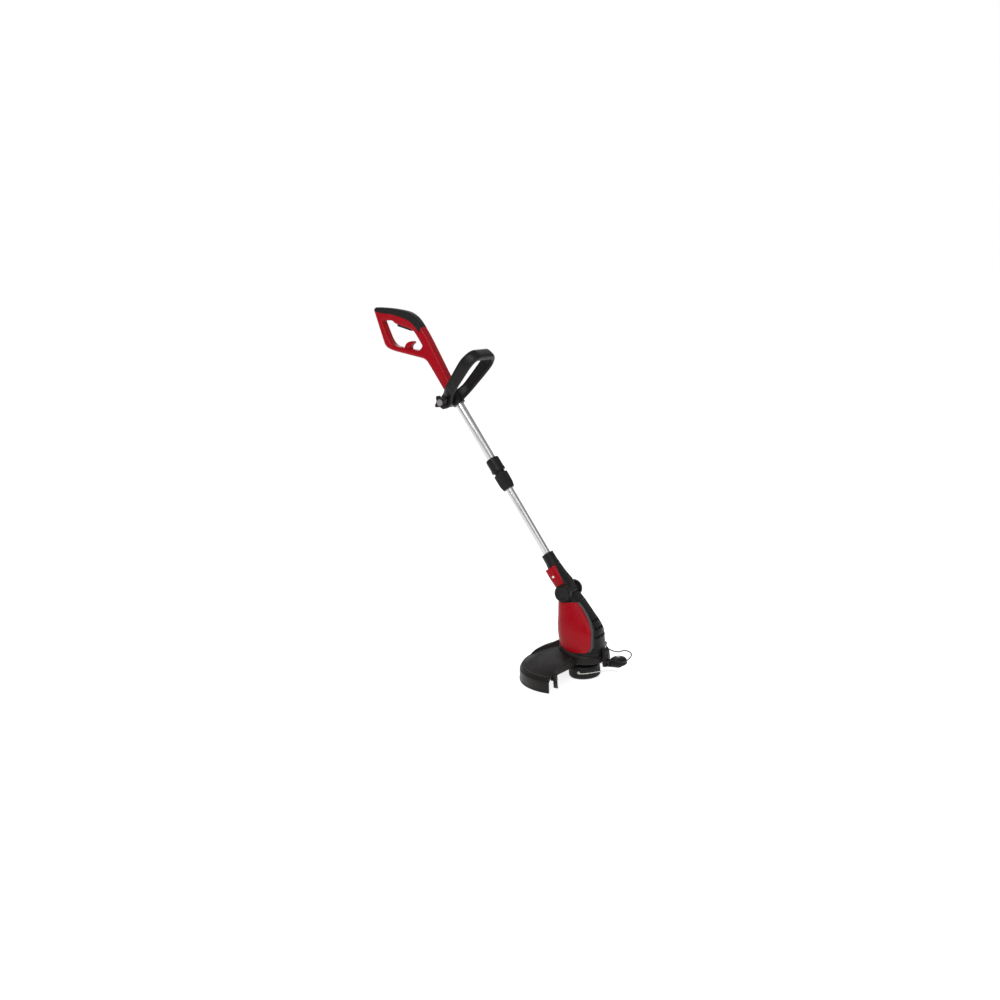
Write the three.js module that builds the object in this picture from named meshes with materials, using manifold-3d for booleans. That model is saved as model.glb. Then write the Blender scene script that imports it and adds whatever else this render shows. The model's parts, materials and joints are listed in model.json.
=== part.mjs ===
// Corded electric string trimmer: closed rear handle, telescopic aluminium shaft, auxiliary loop handle,
// swivelling and tilting motor head with a guard, an edge wheel, a plant guard and a two-line cutting head.
// Millimetres, +Z up along the motor axis, +X forwards, +Y to the left.
// The origin is the centre of the bump button's flat face. Everything above the tilt joint is built in the
// shaft's own frame (x forwards of the shaft, z up along it) and leans back in one group.
import * as THREE from "three";
import { mergeVertices } from "three/addons/utils/BufferGeometryUtils.js";
import Module from "manifold-3d";

const wasm = await Module();
wasm.setup();

// ---- driving dimensions -------------------------------------------------------------------------
const TILT = { x: -32, z: 258 }; // tilt joint's axis, along Y
const SHAFT_LEAN = 30; // degrees that the shaft leans back
const GAP = 0.3; // between neighbours that touch
const WALL = 2.6; // moulded housings

const UPPER_TUBE = { outer: 12.5, inner: 11.4, from: 400, to: 812 };
const LOWER_TUBE = { outer: 11, inner: 9.8, from: 88.3, to: 560 };
const TUBE_FIT = 0.3; // radial room round a tube
const LEAD = 2; // radius of the inner supply lead
const COIL = { r: 8.5, from: 572, to: 690 };

const SOCKET = { r: 18.7, foot: 20.5, from: 84.5, to: 126, spigot: 12, spigotFrom: 46 };
const NECK_TOP = 84;
const BARREL = { r: 19.5, half: 28 };
const SWIVEL_BUTTON = { x: -6.5, z: 56.5, r: 9, out: 27, depth: 8.5 };
const COVER_EDGE = 14; // how far forwards the red cover reaches round the neck

const EAR = { r: 25.6, from: 29, to: 34, rim: 40 };
const PIN_R = 6;
const TILT_BUTTON = { r: 23.3, from: 37.5, to: 43.5 };

const SLEEVE = { r: 20.8, foot: 21.8, from: 410, to: 455, neck: 16, neckFrom: 374 };
const NUT = { from: 350, to: 402, top: 21.6, bottom: 17.8, fullFrom: 368 };

const AUX = { x: -22, z: 675, rise: 15.5, half: 20, reach: 194 }; // bolt's place, loop's slope and size
const KNOB = { r: 18, lobe: 5, lobes: 4, stem: 11, from: 34, starFrom: 42, to: 58 };

const HANDLE_HALF = 16; // half the rear handle's thickness
const GRIP_SKIN = 3;
const TRIGGER_TOP = [-46, 973]; // rear end of the trigger's edge
const TRIGGER_RUN = [43, -53]; // its direction down the grip

const BASE = { from: 56, to: 86 };
const SHELL_TOP = 232;
const SPINDLE_R = 4;
const HEAD = { r: 46.8, capTop: 33.9, coneTop: 50, eyelet: 25, eyeletAngle: -84 };
const LINE_R = 0.9;
const GUARD = { x: -20, r: 177, ridge: 168, thick: 3, spine: 8, plateFrom: 50, plateTo: 55.6 };
const WHEEL = { x: 113, r: 25, from: 46, to: 68.5, axle: 4 };
const ARM = { from: 39, to: 44, half: 8, root: 70.7, rootHalf: 16 };
const BAIL_PIVOT = { x: 54, z: 92 };
const BAIL_R = 1.6;

// Housing stations: height, centre's x, half length, half width.
const HOUSING = [
  [50, 2, 59, 45],
  [64, 2, 62, 47],
  [84, 1, 66, 51],
  [110, -0.5, 67.5, 53],
  [140, -3, 67, 53],
  [165, -7.5, 61.5, 50],
  [190, -13.5, 52.5, 45],
  [215, -20.5, 43.5, 40],
  [240, -28, 33, 35.5],
  [256, -35, 27, 31],
];
const HOUSING_POWER = 2.4; // 2 is an ellipse
const SEAM = [
  [33, 60],
  [33, 86],
  [40, 91],
  [45, 97.5],
  [47.5, 106],
  [49, 149],
  [39, 178],
  [18, 214],
  [-6, 245],
]; // x and z of the line between the red and the black shell
const VENTS = [
  [131, 34],
  [152.5, 30],
  [174, 25],
]; // each row's height and how far it reaches to the side

// ---- materials ----------------------------------------------------------------------------------
const paint = (color, roughness, metalness = 0) =>
  new THREE.MeshStandardMaterial({ color, roughness, metalness });
const red = paint(0xa8001c, 0.35);
const black = paint(0x1e1c1c, 0.55);
const soft = paint(0x161616, 0.8);
const aluminium = paint(0xd4d6d8, 0.3, 1);
const steel = paint(0x9a9ca0, 0.35, 1);
const copper = paint(0xb06a3c, 0.4, 1);
const nylon = paint(0xd9d9d2, 0.45);
const lead = paint(0x111111, 0.7);

// ---- geometry helpers ---------------------------------------------------------------------------
const rad = THREE.MathUtils.degToRad;

function solid(geometry) {
  const bare = geometry.index ? geometry.toNonIndexed() : geometry.clone();
  for (const name of Object.keys(bare.attributes)) {
    if (name !== "position") bare.deleteAttribute(name);
  }
  const merged = mergeVertices(bare, 1e-4);
  const triVerts = new Uint32Array(merged.index.array);
  const vertProperties = merged.attributes.position.array;
  const made = new wasm.Manifold(new wasm.Mesh({ numProp: 3, vertProperties, triVerts }));
  if (made.volume() > 0) return made;
  for (let i = 0; i < triVerts.length; i += 3) {
    [triVerts[i + 1], triVerts[i + 2]] = [triVerts[i + 2], triVerts[i + 1]];
  }
  return new wasm.Manifold(new wasm.Mesh({ numProp: 3, vertProperties, triVerts }));
}

const join = (first, ...rest) => rest.reduce((sum, s) => sum.add(s), first);
const cut = (first, ...rest) => rest.reduce((left, s) => left.subtract(s), first);

function part(name, made, material) {
  const m = made.getMesh();
  const positions = new Float32Array(m.numVert * 3);
  for (let i = 0; i < m.numVert; i++) {
    positions.set(m.vertProperties.subarray(i * m.numProp, i * m.numProp + 3), i * 3);
  }
  const geometry = new THREE.BufferGeometry();
  geometry.setAttribute("position", new THREE.BufferAttribute(positions, 3));
  geometry.setIndex(new THREE.BufferAttribute(m.triVerts, 1));
  geometry.computeVertexNormals();
  const mesh = new THREE.Mesh(geometry, material);
  mesh.name = name;
  return mesh;
}

// A body turned about the Z axis, from a profile of [radius, z].
function turned(profile, sides = 20) {
  const points = profile.map(([r, z]) => new THREE.Vector2(r, z));
  return new THREE.LatheGeometry(points, sides).rotateX(Math.PI / 2);
}

function ring(inner, outer, from, to, sides = 20) {
  const profile = [
    [inner, from],
    [outer, from],
    [outer, to],
    [inner, to],
    [inner, from],
  ];
  return turned(profile, sides);
}

const rod = (r, from, to, sides = 14) =>
  new THREE.CylinderGeometry(r, r, to - from, sides)
    .rotateX(Math.PI / 2)
    .translate(0, 0, (from + to) / 2);

// Turns something built along Z so that it lies along Y, and puts its axis at x, z.
const alongY = (geometry, x = 0, z = 0) => geometry.rotateX(-Math.PI / 2).translate(x, 0, z);

const crossRod = (r, from, to, x, z, sides = 14) => alongY(rod(r, from, to, sides), x, z);

const block = (x0, x1, y0, y1, z0, z1) =>
  new THREE.BoxGeometry(x1 - x0, y1 - y0, z1 - z0).translate(
    (x0 + x1) / 2,
    (y0 + y1) / 2,
    (z0 + z1) / 2,
  );

// Corners of [u, v, rounding] as a closed outline.
function outline(corners) {
  const shape = new THREE.Shape();
  const towards = ([u, v], [p, q], reach) => {
    const length = Math.hypot(p - u, q - v);
    const t = Math.min(reach / length, 0.47);
    return [u + (p - u) * t, v + (q - v) * t];
  };
  corners.forEach((corner, i) => {
    const [u, v, rounding = 0] = corner;
    const last = corners[(i + corners.length - 1) % corners.length];
    const next = corners[(i + 1) % corners.length];
    const start = towards(corner, last, rounding);
    if (i === 0) shape.moveTo(...start);
    else shape.lineTo(...start);
    if (rounding > 0) shape.quadraticCurveTo(u, v, ...towards(corner, next, rounding));
  });
  shape.closePath();
  return shape;
}

// An outline in x and z, made thick along Y about y = 0, with rounded edges, moved in by inset.
function slab(shape, half, bevel = 0, inset = 0, steps = 1) {
  const options = { depth: 2 * (half - bevel), curveSegments: 3, bevelEnabled: bevel > 0 };
  if (bevel > 0) {
    options.bevelThickness = bevel;
    options.bevelSize = bevel;
    options.bevelOffset = -bevel - inset;
    options.bevelSegments = steps;
  }
  return new THREE.ExtrudeGeometry(shape, options)
    .translate(0, 0, bevel - half)
    .rotateX(Math.PI / 2);
}

// A round bar along a smooth curve through points.
function sweep(points, r, sides = 8, steps = points.length * 3) {
  const path = new THREE.CatmullRomCurve3(points.map((p) => new THREE.Vector3(...p)));
  const section = new THREE.Shape();
  for (let i = 0; i < sides; i++) {
    const a = (i / sides) * 2 * Math.PI;
    if (i === 0) section.moveTo(r * Math.cos(a), r * Math.sin(a));
    else section.lineTo(r * Math.cos(a), r * Math.sin(a));
  }
  section.closePath();
  return new THREE.ExtrudeGeometry(section, { steps, bevelEnabled: false, extrudePath: path });
}

function spring(r, wire, from, to, turns) {
  const points = [];
  const count = Math.round(turns * 8);
  for (let i = 0; i <= count; i++) {
    const a = (i / count) * turns * 2 * Math.PI;
    points.push([r * Math.cos(a), r * Math.sin(a), from + ((to - from) * i) / count]);
  }
  return sweep(points, wire, 4, count);
}

// A round-cornered section r(angle) = 1 for half sizes a and b.
function superellipse(angle, a, b, power) {
  const c = Math.cos(angle);
  const s = Math.sin(angle);
  const k = (Math.abs(c / a) ** power + Math.abs(s / b) ** power) ** (-1 / power);
  return [k * c, k * s];
}

// The row of a station table at height z, by straight interpolation.
function station(table, z) {
  const last = table.length - 1;
  if (z <= table[0][0]) return table[0].slice(1);
  if (z >= table[last][0]) return table[last].slice(1);
  const i = table.findIndex((row) => row[0] > z);
  const t = (z - table[i - 1][0]) / (table[i][0] - table[i - 1][0]);
  return table[i].slice(1).map((v, k) => table[i - 1][k + 1] * (1 - t) + v * t);
}

// A stack of superellipse sections through heights, from a table of centre x, half length, half width.
function lofted(table, heights, power, inset = 0, sides = 24) {
  const from = heights[0];
  const count = heights.length - 1;
  const body = new THREE.CylinderGeometry(1, 1, count, sides, count).rotateX(Math.PI / 2);
  const p = body.attributes.position;
  for (let i = 0; i < p.count; i++) {
    const level = Math.round(p.getZ(i) + count / 2);
    const z = heights[level] ?? from;
    const [cx, a, b] = station(table, z);
    const centre = Math.hypot(p.getX(i), p.getY(i)) < 0.5;
    const angle = Math.atan2(p.getY(i), p.getX(i));
    const [u, v] = superellipse(angle, a - inset, b - inset, power);
    p.setXYZ(i, cx + (centre ? 0 : u), centre ? 0 : v, z);
  }
  return body;
}

const housingForm = (heights, inset = 0) => lofted(HOUSING, heights, HOUSING_POWER, inset);

// ---- rear handle --------------------------------------------------------------------------------
const handleOutline = () =>
  outline([
    [-15, 706],
    [-15, 822, 16],
    [-103, 912, 30],
    [-121, 938, 26],
    [-87, 1063, 14],
    [-30, 1019, 40],
    [27, 962, 36],
    [31, 890, 40],
    [18, 730, 40],
    [18, 706],
  ]);

const handOpening = () =>
  outline([
    [-83, 1011, 5],
    [-52, 989, 4],
    [-46, 973, 5],
    [-2, 919, 14],
    [-2, 861, 5],
    [-21, 857, 5],
    [-36, 870, 8],
    [-66, 899, 10],
    [-91, 921, 14],
    [-95, 948, 14],
  ]);

// The handle's outer form, with all but the opening's edge moved in by inset.
const handleForm = (bevel, inset = 0) =>
  cut(
    solid(slab(handleOutline(), HANDLE_HALF - inset, bevel, inset)),
    solid(slab(handOpening(), 40)),
  );

const gripBand = () =>
  outline([
    [-99, 1062],
    [-72, 1031, 6],
    [-38, 1002, 10],
    [-14, 974, 10],
    [3, 950, 10],
    [11, 927, 10],
    [14, 898, 3],
    [60, 928],
    [60, 1100],
    [-99, 1100],
  ]);

const strainHook = () =>
  slab(
    outline([
      [-68, 893],
      [-60, 900, 4],
      [-52, 904, 6],
      [-40, 902.5, 5],
      [-27, 896.5, 3.6],
      [-25, 889.5, 3.4],
      [-38, 889, 5],
      [-45.5, 886, 5],
      [-51, 870],
    ]),
    6,
    1,
  );

// A point on the trigger's edge: s along it from its rear end, d out of the grip.
function triggerPoint(s, d) {
  const length = Math.hypot(...TRIGGER_RUN);
  const [ex, ez] = TRIGGER_RUN.map((v) => v / length);
  return [TRIGGER_TOP[0] + ex * s + ez * d, TRIGGER_TOP[1] + ez * s - ex * d];
}

const triggerShape = (corners) => outline(corners.map(([s, d, r]) => [...triggerPoint(s, d), r]));

const SCREWS = [
  [-14, 838],
  [-72, 889],
  [-108, 946],
  [-84, 1033],
];
const SWITCH = { x: -50, z: 1010, length: 26, height: 15, half: 8 };

const switchBox = () =>
  new THREE.BoxGeometry(SWITCH.length, 2 * SWITCH.half, SWITCH.height)
    .rotateY(rad(45))
    .translate(SWITCH.x, 0, SWITCH.z);

const inletLeadPath = [
  [-103, 0, 985.2],
  [-99, 0, 996],
  [-92, 0, 1010],
  [-82, 0, 1020],
  [-68, 0, 1024],
];

function handleBody() {
  const outer = handleForm(6);
  const core = handleForm(2, GRIP_SKIN + GAP);
  const band = solid(slab(gripBand(), 40));
  const channel = outline([
    [-8, 814],
    [12, 814],
    [19, 850],
    [22, 905],
    [16, 950],
    [-14, 986],
    [-60, 1034],
    [-74, 1026],
    [-66, 1010],
    [-44, 990],
    [-34, 976],
    [6, 926],
    [7, 885],
    [-3, 850],
  ]);
  const slot = triggerShape([
    [1, 14, 0],
    [1, -16, 0],
    [24, -16, 0],
    [66.5, -11, 0],
    [66.5, 14, 0],
  ]);
  const [px, pz] = triggerPoint(58, -3);
  const screwHoles = SCREWS.flatMap(([x, z]) => [
    solid(crossRod(2.3, -9, 14, x, z, 12)),
    solid(crossRod(4.1, 9, 20, x, z, 14)),
  ]);
  return cut(
    join(outer.subtract(band), core, solid(strainHook())),
    solid(rod(UPPER_TUBE.outer + TUBE_FIT, 690, UPPER_TUBE.to + 3, 20)),
    solid(slab(channel, 9.2)),
    solid(slab(slot, 7.6)),
    solid(crossRod(2.8, -10.4, 10.4, px, pz, 14)),
    solid(block(-130, -98, -11, 11, 961.7, 984.3)),
    solid(sweep(inletLeadPath, LEAD + 0.7, 6, 8)),
    ...screwHoles,
  );
}

function rearHandle() {
  const body = handleBody();
  const right = body.intersect(solid(block(-200, 100, -40, -GAP / 2, 600, 1200)));
  const left = body.intersect(solid(block(-200, 100, GAP / 2, 40, 600, 1200)));
  const skin = cut(
    handleForm(6).intersect(solid(slab(gripBand(), 40, 0.5, GAP))),
    handleForm(2, GRIP_SKIN),
  );
  const inlet = join(
    solid(block(-109, -98 - GAP, -10.7, 10.7, 962, 984)),
    ...[-5, 5].map((y) => solid(rod(1.8, 0, 6, 10).rotateY(-Math.PI / 2).translate(-108, y, 973))),
  );
  return [
    part("handle_shell_right", right, red),
    part("handle_shell_left", left, red),
    part("grip_cover", skin, soft),
    part("switch_block", solid(switchBox()), black),
    part("power_inlet", inlet, black),
    part("inlet_lead", solid(sweep(inletLeadPath, LEAD, 6, 8)), lead),
    ...SCREWS.map(([x, z], i) => part(`handle_screw_${i + 1}`, handleScrew(x, z), steel)),
    part("trigger_spring", triggerSpring(), steel),
  ];
}

const handleScrew = (x, z) =>
  join(solid(crossRod(3.6, 9.3, 12, x, z, 12)), solid(crossRod(1.9, -8, 10, x, z, 10)));

function triggerSpring() {
  const [x, z] = triggerPoint(16, -9.4);
  const coil = spring(3, 0.5, 0, 9, 3);
  return solid(coil.rotateY(rad(51)).translate(x, 0, z));
}

function trigger() {
  const shape = triggerShape([
    [3, 7, 3],
    [60, 6, 5],
    [64, 1, 3],
    [64, -8, 2],
    [3, -9, 2],
  ]);
  const [px, pz] = triggerPoint(58, -3);
  return part(
    "trigger",
    join(solid(slab(shape, 7, 1.5)), solid(crossRod(2.5, -10, 10, px, pz, 14))),
    black,
  );
}

// ---- shaft --------------------------------------------------------------------------------------
function tubes() {
  const tube = ({ inner, outer, from, to }) => solid(ring(inner, outer, from, to, 20));
  const coil = join(
    solid(rod(COIL.r, COIL.from, COIL.to, 14)),
    solid(
      sweep(
        [
          [0, 0, 689],
          [0, 0, 760],
          [2, 0, 825],
          [12, 0, 880],
          [13, 0, 930],
          [3, 0, 958],
          [-18, 0, 981],
          [-34, 0, 997],
        ],
        LEAD,
        6,
        14,
      ),
    ),
  );
  return [
    part("upper_tube", tube(UPPER_TUBE), aluminium),
    part("lower_tube", tube(LOWER_TUBE), aluminium),
    part("coiled_lead", coil, lead),
    part("lower_lead", solid(rod(LEAD, 50, 566, 8)), lead),
  ];
}

function telescopicLock() {
  const room = UPPER_TUBE.outer + TUBE_FIT;
  const sleeve = turned([
    [room, SLEEVE.neckFrom],
    [SLEEVE.neck, SLEEVE.neckFrom],
    [SLEEVE.neck, SLEEVE.from],
    [SLEEVE.foot - 1, SLEEVE.from],
    [SLEEVE.foot, SLEEVE.from + 2],
    [SLEEVE.r, SLEEVE.from + 9],
    [SLEEVE.r, SLEEVE.to - 6],
    [SLEEVE.r - 3, SLEEVE.to],
    [room, SLEEVE.to],
    [room, SLEEVE.neckFrom],
  ]);
  const grip = LOWER_TUBE.outer + TUBE_FIT;
  const nut = turned([
    [grip, NUT.from],
    [NUT.bottom - 1, NUT.from],
    [NUT.bottom, NUT.from + 2],
    [NUT.top - 0.6, NUT.fullFrom],
    [NUT.top, NUT.to - 12],
    [NUT.top, NUT.to - 1],
    [NUT.top - 1, NUT.to],
    [SLEEVE.neck + GAP, NUT.to],
    [SLEEVE.neck + GAP, 372],
    [15.6, 370],
    [13.6, NUT.from + 3],
    [grip, NUT.from + 3],
    [grip, NUT.from],
  ]);
  const collet = turned([
    [grip - 0.15, NUT.from + 3.4],
    [13, NUT.from + 3.4],
    [15, 369],
    [15, 373.4],
    [grip - 0.15, 373.4],
    [grip - 0.15, NUT.from + 3.4],
  ]);
  return [
    part("tube_sleeve", solid(sleeve), black),
    part("lock_nut", solid(nut), black),
    part("collet", cut(solid(collet), solid(block(0, 20, -1.2, 1.2, 340, 380))), nylon),
  ];
}

function auxHandle() {
  const outerHalf = [
    [-23, 31.5, 0],
    [14, 32, 12],
    [42, 53, 18],
    [100, 62, 25],
    [158, 68, 24],
    [AUX.reach, 50, 22],
  ];
  const innerHalf = [
    [172, 44, 14],
    [152, 55, 12],
    [100, 50.5, 25],
    [46, 42, 14],
    [16, 20.5, 10],
    [-23, 20.5, 0],
  ];
  const near = ([a, b, r]) => [a, -b, r];
  const loop = outline([
    ...outerHalf.map(near),
    ...[...outerHalf].reverse(),
    ...[...innerHalf].reverse(),
    ...innerHalf.map(near),
  ]);
  const side = outline([
    [-22, -20, 18],
    [16, -20, 20],
    [46, -17.5, 30],
    [150, -19.5, 20],
    [AUX.reach + 1, -17, 9],
    [AUX.reach + 1, 17, 9],
    [150, 19.5, 20],
    [46, 17.5, 30],
    [16, 20, 20],
    [-22, 20, 18],
  ]);
  const flat = solid(slab(loop, AUX.half, 3).rotateX(Math.PI / 2));
  const made = cut(flat.intersect(solid(slab(side, 80))), solid(crossRod(4.2, -40, 40, 0, 0, 16)));
  const mesh = part("aux_handle", made, black);
  mesh.rotation.y = -rad(AUX.rise);
  mesh.position.set(AUX.x, 0, AUX.z);
  return mesh;
}

function auxFixings() {
  const clamp = cut(
    join(
      solid(rod(18.5, AUX.z - 26, AUX.z + 25, 20)),
      solid(block(-33, -8, -20, 20, AUX.z - 17, AUX.z + 17)),
    ),
    solid(rod(UPPER_TUBE.outer + TUBE_FIT, AUX.z - 30, AUX.z + 30, 20)),
    solid(crossRod(4.2, -30, 30, AUX.x, AUX.z, 16)),
  );
  const bolt = join(
    solid(crossRod(4, 4 - KNOB.to, 33, AUX.x, AUX.z, 14)),
    solid(crossRod(7, 32.5, 37, AUX.x, AUX.z, 6)),
  );
  const lobes = [];
  for (let i = 0; i < 30; i++) {
    const a = (i / 30) * 2 * Math.PI;
    const r = KNOB.r + KNOB.lobe * Math.cos(KNOB.lobes * a);
    lobes.push([r * Math.cos(a), r * Math.sin(a)]);
  }
  const half = (KNOB.to - KNOB.starFrom) / 2;
  const knob = join(
    solid(slab(outline(lobes), half, 2).translate(AUX.x, -KNOB.starFrom - half, AUX.z)),
    solid(crossRod(KNOB.stem, -KNOB.starFrom - 1, -KNOB.from, AUX.x, AUX.z, 20)),
  );
  const bore = solid(crossRod(4.35, 3 - KNOB.to, 0, AUX.x, AUX.z, 14));
  return [
    part("aux_clamp", clamp, black),
    part("aux_bolt", bolt, steel),
    part("star_knob", cut(knob, bore), black),
  ];
}

// ---- swivel and tilt ----------------------------------------------------------------------------
const NECK = [
  [0, 0, 20, 27.5],
  [24, 0, 23.9, 27.5],
  [40, -2, 23.2, 27],
  [56, -4.2, 22.5, 26],
  [NECK_TOP, -6, 21.6, 24],
];

const neckForm = (inset) => lofted(NECK, [0, 12, 24, 40, 56, NECK_TOP], 3.2, inset, 24);

// What stays black inside the cover: the neck's core and its whole front.
const underCover = (skin) =>
  solid(neckForm(skin)).add(solid(block(0, 40, -13, 13, 0, NECK_TOP + 2)));

function swivelParts() {
  const outer = solid(neckForm(0));
  const b = SWIVEL_BUTTON;
  const hole = solid(crossRod(b.r + GAP, -34, -b.out + b.depth + 2.6, b.x, b.z, 20));
  const covered = (edge, low) =>
    outer.intersect(solid(block(-40, COVER_EDGE - edge, -40, 40, low, NECK_TOP + 1)));
  const skin = cut(covered(GAP / 2, 24.2), underCover(WALL), hole);
  const recess = cut(covered(-GAP / 2, 24.2 - GAP), underCover(WALL + GAP));
  const bracket = cut(
    join(outer, solid(crossRod(BARREL.r, -BARREL.half, BARREL.half, 0, 0, 24))),
    recess,
    hole,
    solid(rod(SOCKET.spigot + 0.35, 50.4, 90, 20)),
    solid(rod(14, 40, 50.4, 20)),
    solid(rod(5, 0, 45, 12)),
    solid(crossRod(PIN_R + 0.1, -40, 40, 0, 0, 24)),
  );
  const socket = turned([
    [7, SOCKET.spigotFrom],
    [13.6, SOCKET.spigotFrom],
    [13.6, 50],
    [SOCKET.spigot, 50],
    [SOCKET.spigot, SOCKET.from],
    [SOCKET.foot, SOCKET.from],
    [SOCKET.r, SOCKET.from + 18],
    [SOCKET.r, SOCKET.to - 3],
    [SOCKET.r - 1, SOCKET.to],
    [LOWER_TUBE.outer + TUBE_FIT, SOCKET.to],
    [LOWER_TUBE.outer + TUBE_FIT, LOWER_TUBE.from - GAP],
    [7, LOWER_TUBE.from - GAP],
    [7, SOCKET.spigotFrom],
  ]);
  const button = turned(
    [
      [0, -b.out],
      [b.r - 2, -b.out],
      [b.r, -b.out + 1.2],
      [b.r, -b.out + b.depth],
      [0, -b.out + b.depth],
    ],
    24,
  );
  return [
    part("swivel_bracket", bracket, black),
    part("bracket_cover", skin, red),
    part("tube_socket", solid(socket), black),
    part("swivel_button", solid(alongY(button, b.x, b.z)), red),
  ];
}

function tiltParts() {
  const ear = (from, to, r) => solid(crossRod(r, from, to, TILT.x, TILT.z, 24));
  const post = (y0, y1) => solid(block(TILT.x - 19, TILT.x + 19, y0, y1, 233, TILT.z));
  const saddle = solid(housingForm([SHELL_TOP + GAP, 235.7]));
  const plug = solid(housingForm([222, 228, SHELL_TOP + 1], WALL + 2 * GAP));
  const rim = cut(
    ear(-EAR.rim, -EAR.to + 1, EAR.r),
    ear(-EAR.rim - 1, -EAR.to - 0.01, TILT_BUTTON.r + GAP),
  );
  const apronSide = outline([
    [10.5, SHELL_TOP + 2 * GAP],
    [0, 245.5],
    [-7, 255.5],
    [-14, 255.5],
    [-14, 240],
    [-32, 236],
    [-32, SHELL_TOP + 2 * GAP],
  ]);
  const apron = cut(
    solid(slab(apronSide, EAR.from + 0.5)).intersect(solid(housingForm([SHELL_TOP + GAP, 240, 256]))),
    ear(-EAR.from, EAR.from, BARREL.r + 0.9),
  );
  const yoke = cut(
    join(
      saddle,
      plug,
      ear(EAR.from, EAR.to, EAR.r),
      ear(-EAR.to, -EAR.from, EAR.r),
      post(EAR.from, EAR.to),
      post(-EAR.to, -EAR.from),
      ear(EAR.to - 1, EAR.rim, EAR.r),
      rim,
      apron,
    ),
    solid(crossRod(PIN_R + 0.1, -50, 34, TILT.x, TILT.z, 24)),
    solid(rod(5, 210, 240, 12).translate(-26, 0, 0)),
    solid(block(-50, -2, -20, 20, 220, 228)),
  );
  const { r, from, to } = TILT_BUTTON;
  const button = turned(
    [
      [0, -to + 0.8],
      [8, -to + 0.8],
      [9, -to + 1.6],
      [12, -to + 1.6],
      [13, -to],
      [r - 2, -to],
      [r, -to + 2],
      [r, -from],
      [0, -from],
    ],
    24,
  );
  const coil = spring(12, 0.5, -from + 0.6, -EAR.to - 0.8, 1.5);
  return [
    part("tilt_yoke", yoke, black),
    part("tilt_pin", solid(crossRod(PIN_R, -33.6, 33.6, TILT.x, TILT.z, 24)), steel),
    part("tilt_button", solid(alongY(button, TILT.x, TILT.z)), black),
    part("tilt_spring", solid(alongY(coil, TILT.x, TILT.z)), steel),
  ];
}

// ---- motor housing ------------------------------------------------------------------------------
const SHELL_HEIGHTS = [BASE.to + GAP, 110, 140, 165, 190, 215, SHELL_TOP];

function housingShells() {
  const shell = cut(
    solid(housingForm(SHELL_HEIGHTS)),
    solid(housingForm([BASE.to - 1, 110, 140, 165, 190, 215, SHELL_TOP + 1], WALL)),
  );
  const front = [...SEAM.map(([x, z]) => [x + GAP / 2, z]), [200, 245], [200, 60]];
  const rear = [...SEAM.map(([x, z]) => [x - GAP / 2, z]), [-200, 245], [-200, 60]];
  const vents = [];
  for (const [level, reach] of VENTS) {
    for (const [y0, y1] of [
      [-reach, -10],
      [-7, 7],
      [10, reach],
    ]) {
      vents.push(solid(block(14, 90, y0, y1, level - 3, level + 3)));
    }
  }
  const { x, z } = BAIL_PIVOT;
  const inside = solid(housingForm(SHELL_HEIGHTS, WALL));
  const bosses = [-1, 1].map((side) =>
    solid(crossRod(5, side > 0 ? 30 : -42.5, side > 0 ? 42.5 : -30, x, z, 16)).subtract(inside),
  );
  const bores = [-1, 1].map((side) =>
    solid(crossRod(BAIL_R + 0.4, side > 0 ? 36.5 : -44, side > 0 ? 44 : -36.5, x, z, 10)),
  );
  const frontShell = join(shell.intersect(solid(slab(outline(front), 80))), ...bosses);
  return [
    part("motor_cover_front", cut(frontShell, ...vents, ...bores), black),
    part("motor_shell_rear", shell.intersect(solid(slab(outline(rear), 80))), red),
  ];
}

const GUARD_SCREWS = [
  [0, -40],
  [0, 40],
];

function motorBase() {
  const cup = cut(
    solid(housingForm([BASE.from, 64, 84, BASE.to])),
    solid(housingForm([BASE.from + 4, 64, 84, BASE.to + 1], WALL)),
  );
  const bosses = GUARD_SCREWS.map(([x, y]) => solid(rod(5, 59, 68, 12).translate(x, y, 0)));
  const holes = GUARD_SCREWS.map(([x, y]) => solid(rod(2.3, 50, 64, 10).translate(x, y, 0)));
  const base = cut(
    join(cup, solid(ring(11.4, 14.5, 59, 70)), ...bosses),
    solid(rod(8, 50, 62)),
    solid(rod(11.4, BASE.from + 4, 72, 20)),
    ...holes,
  );
  return part("motor_base", base, black);
}

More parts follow.
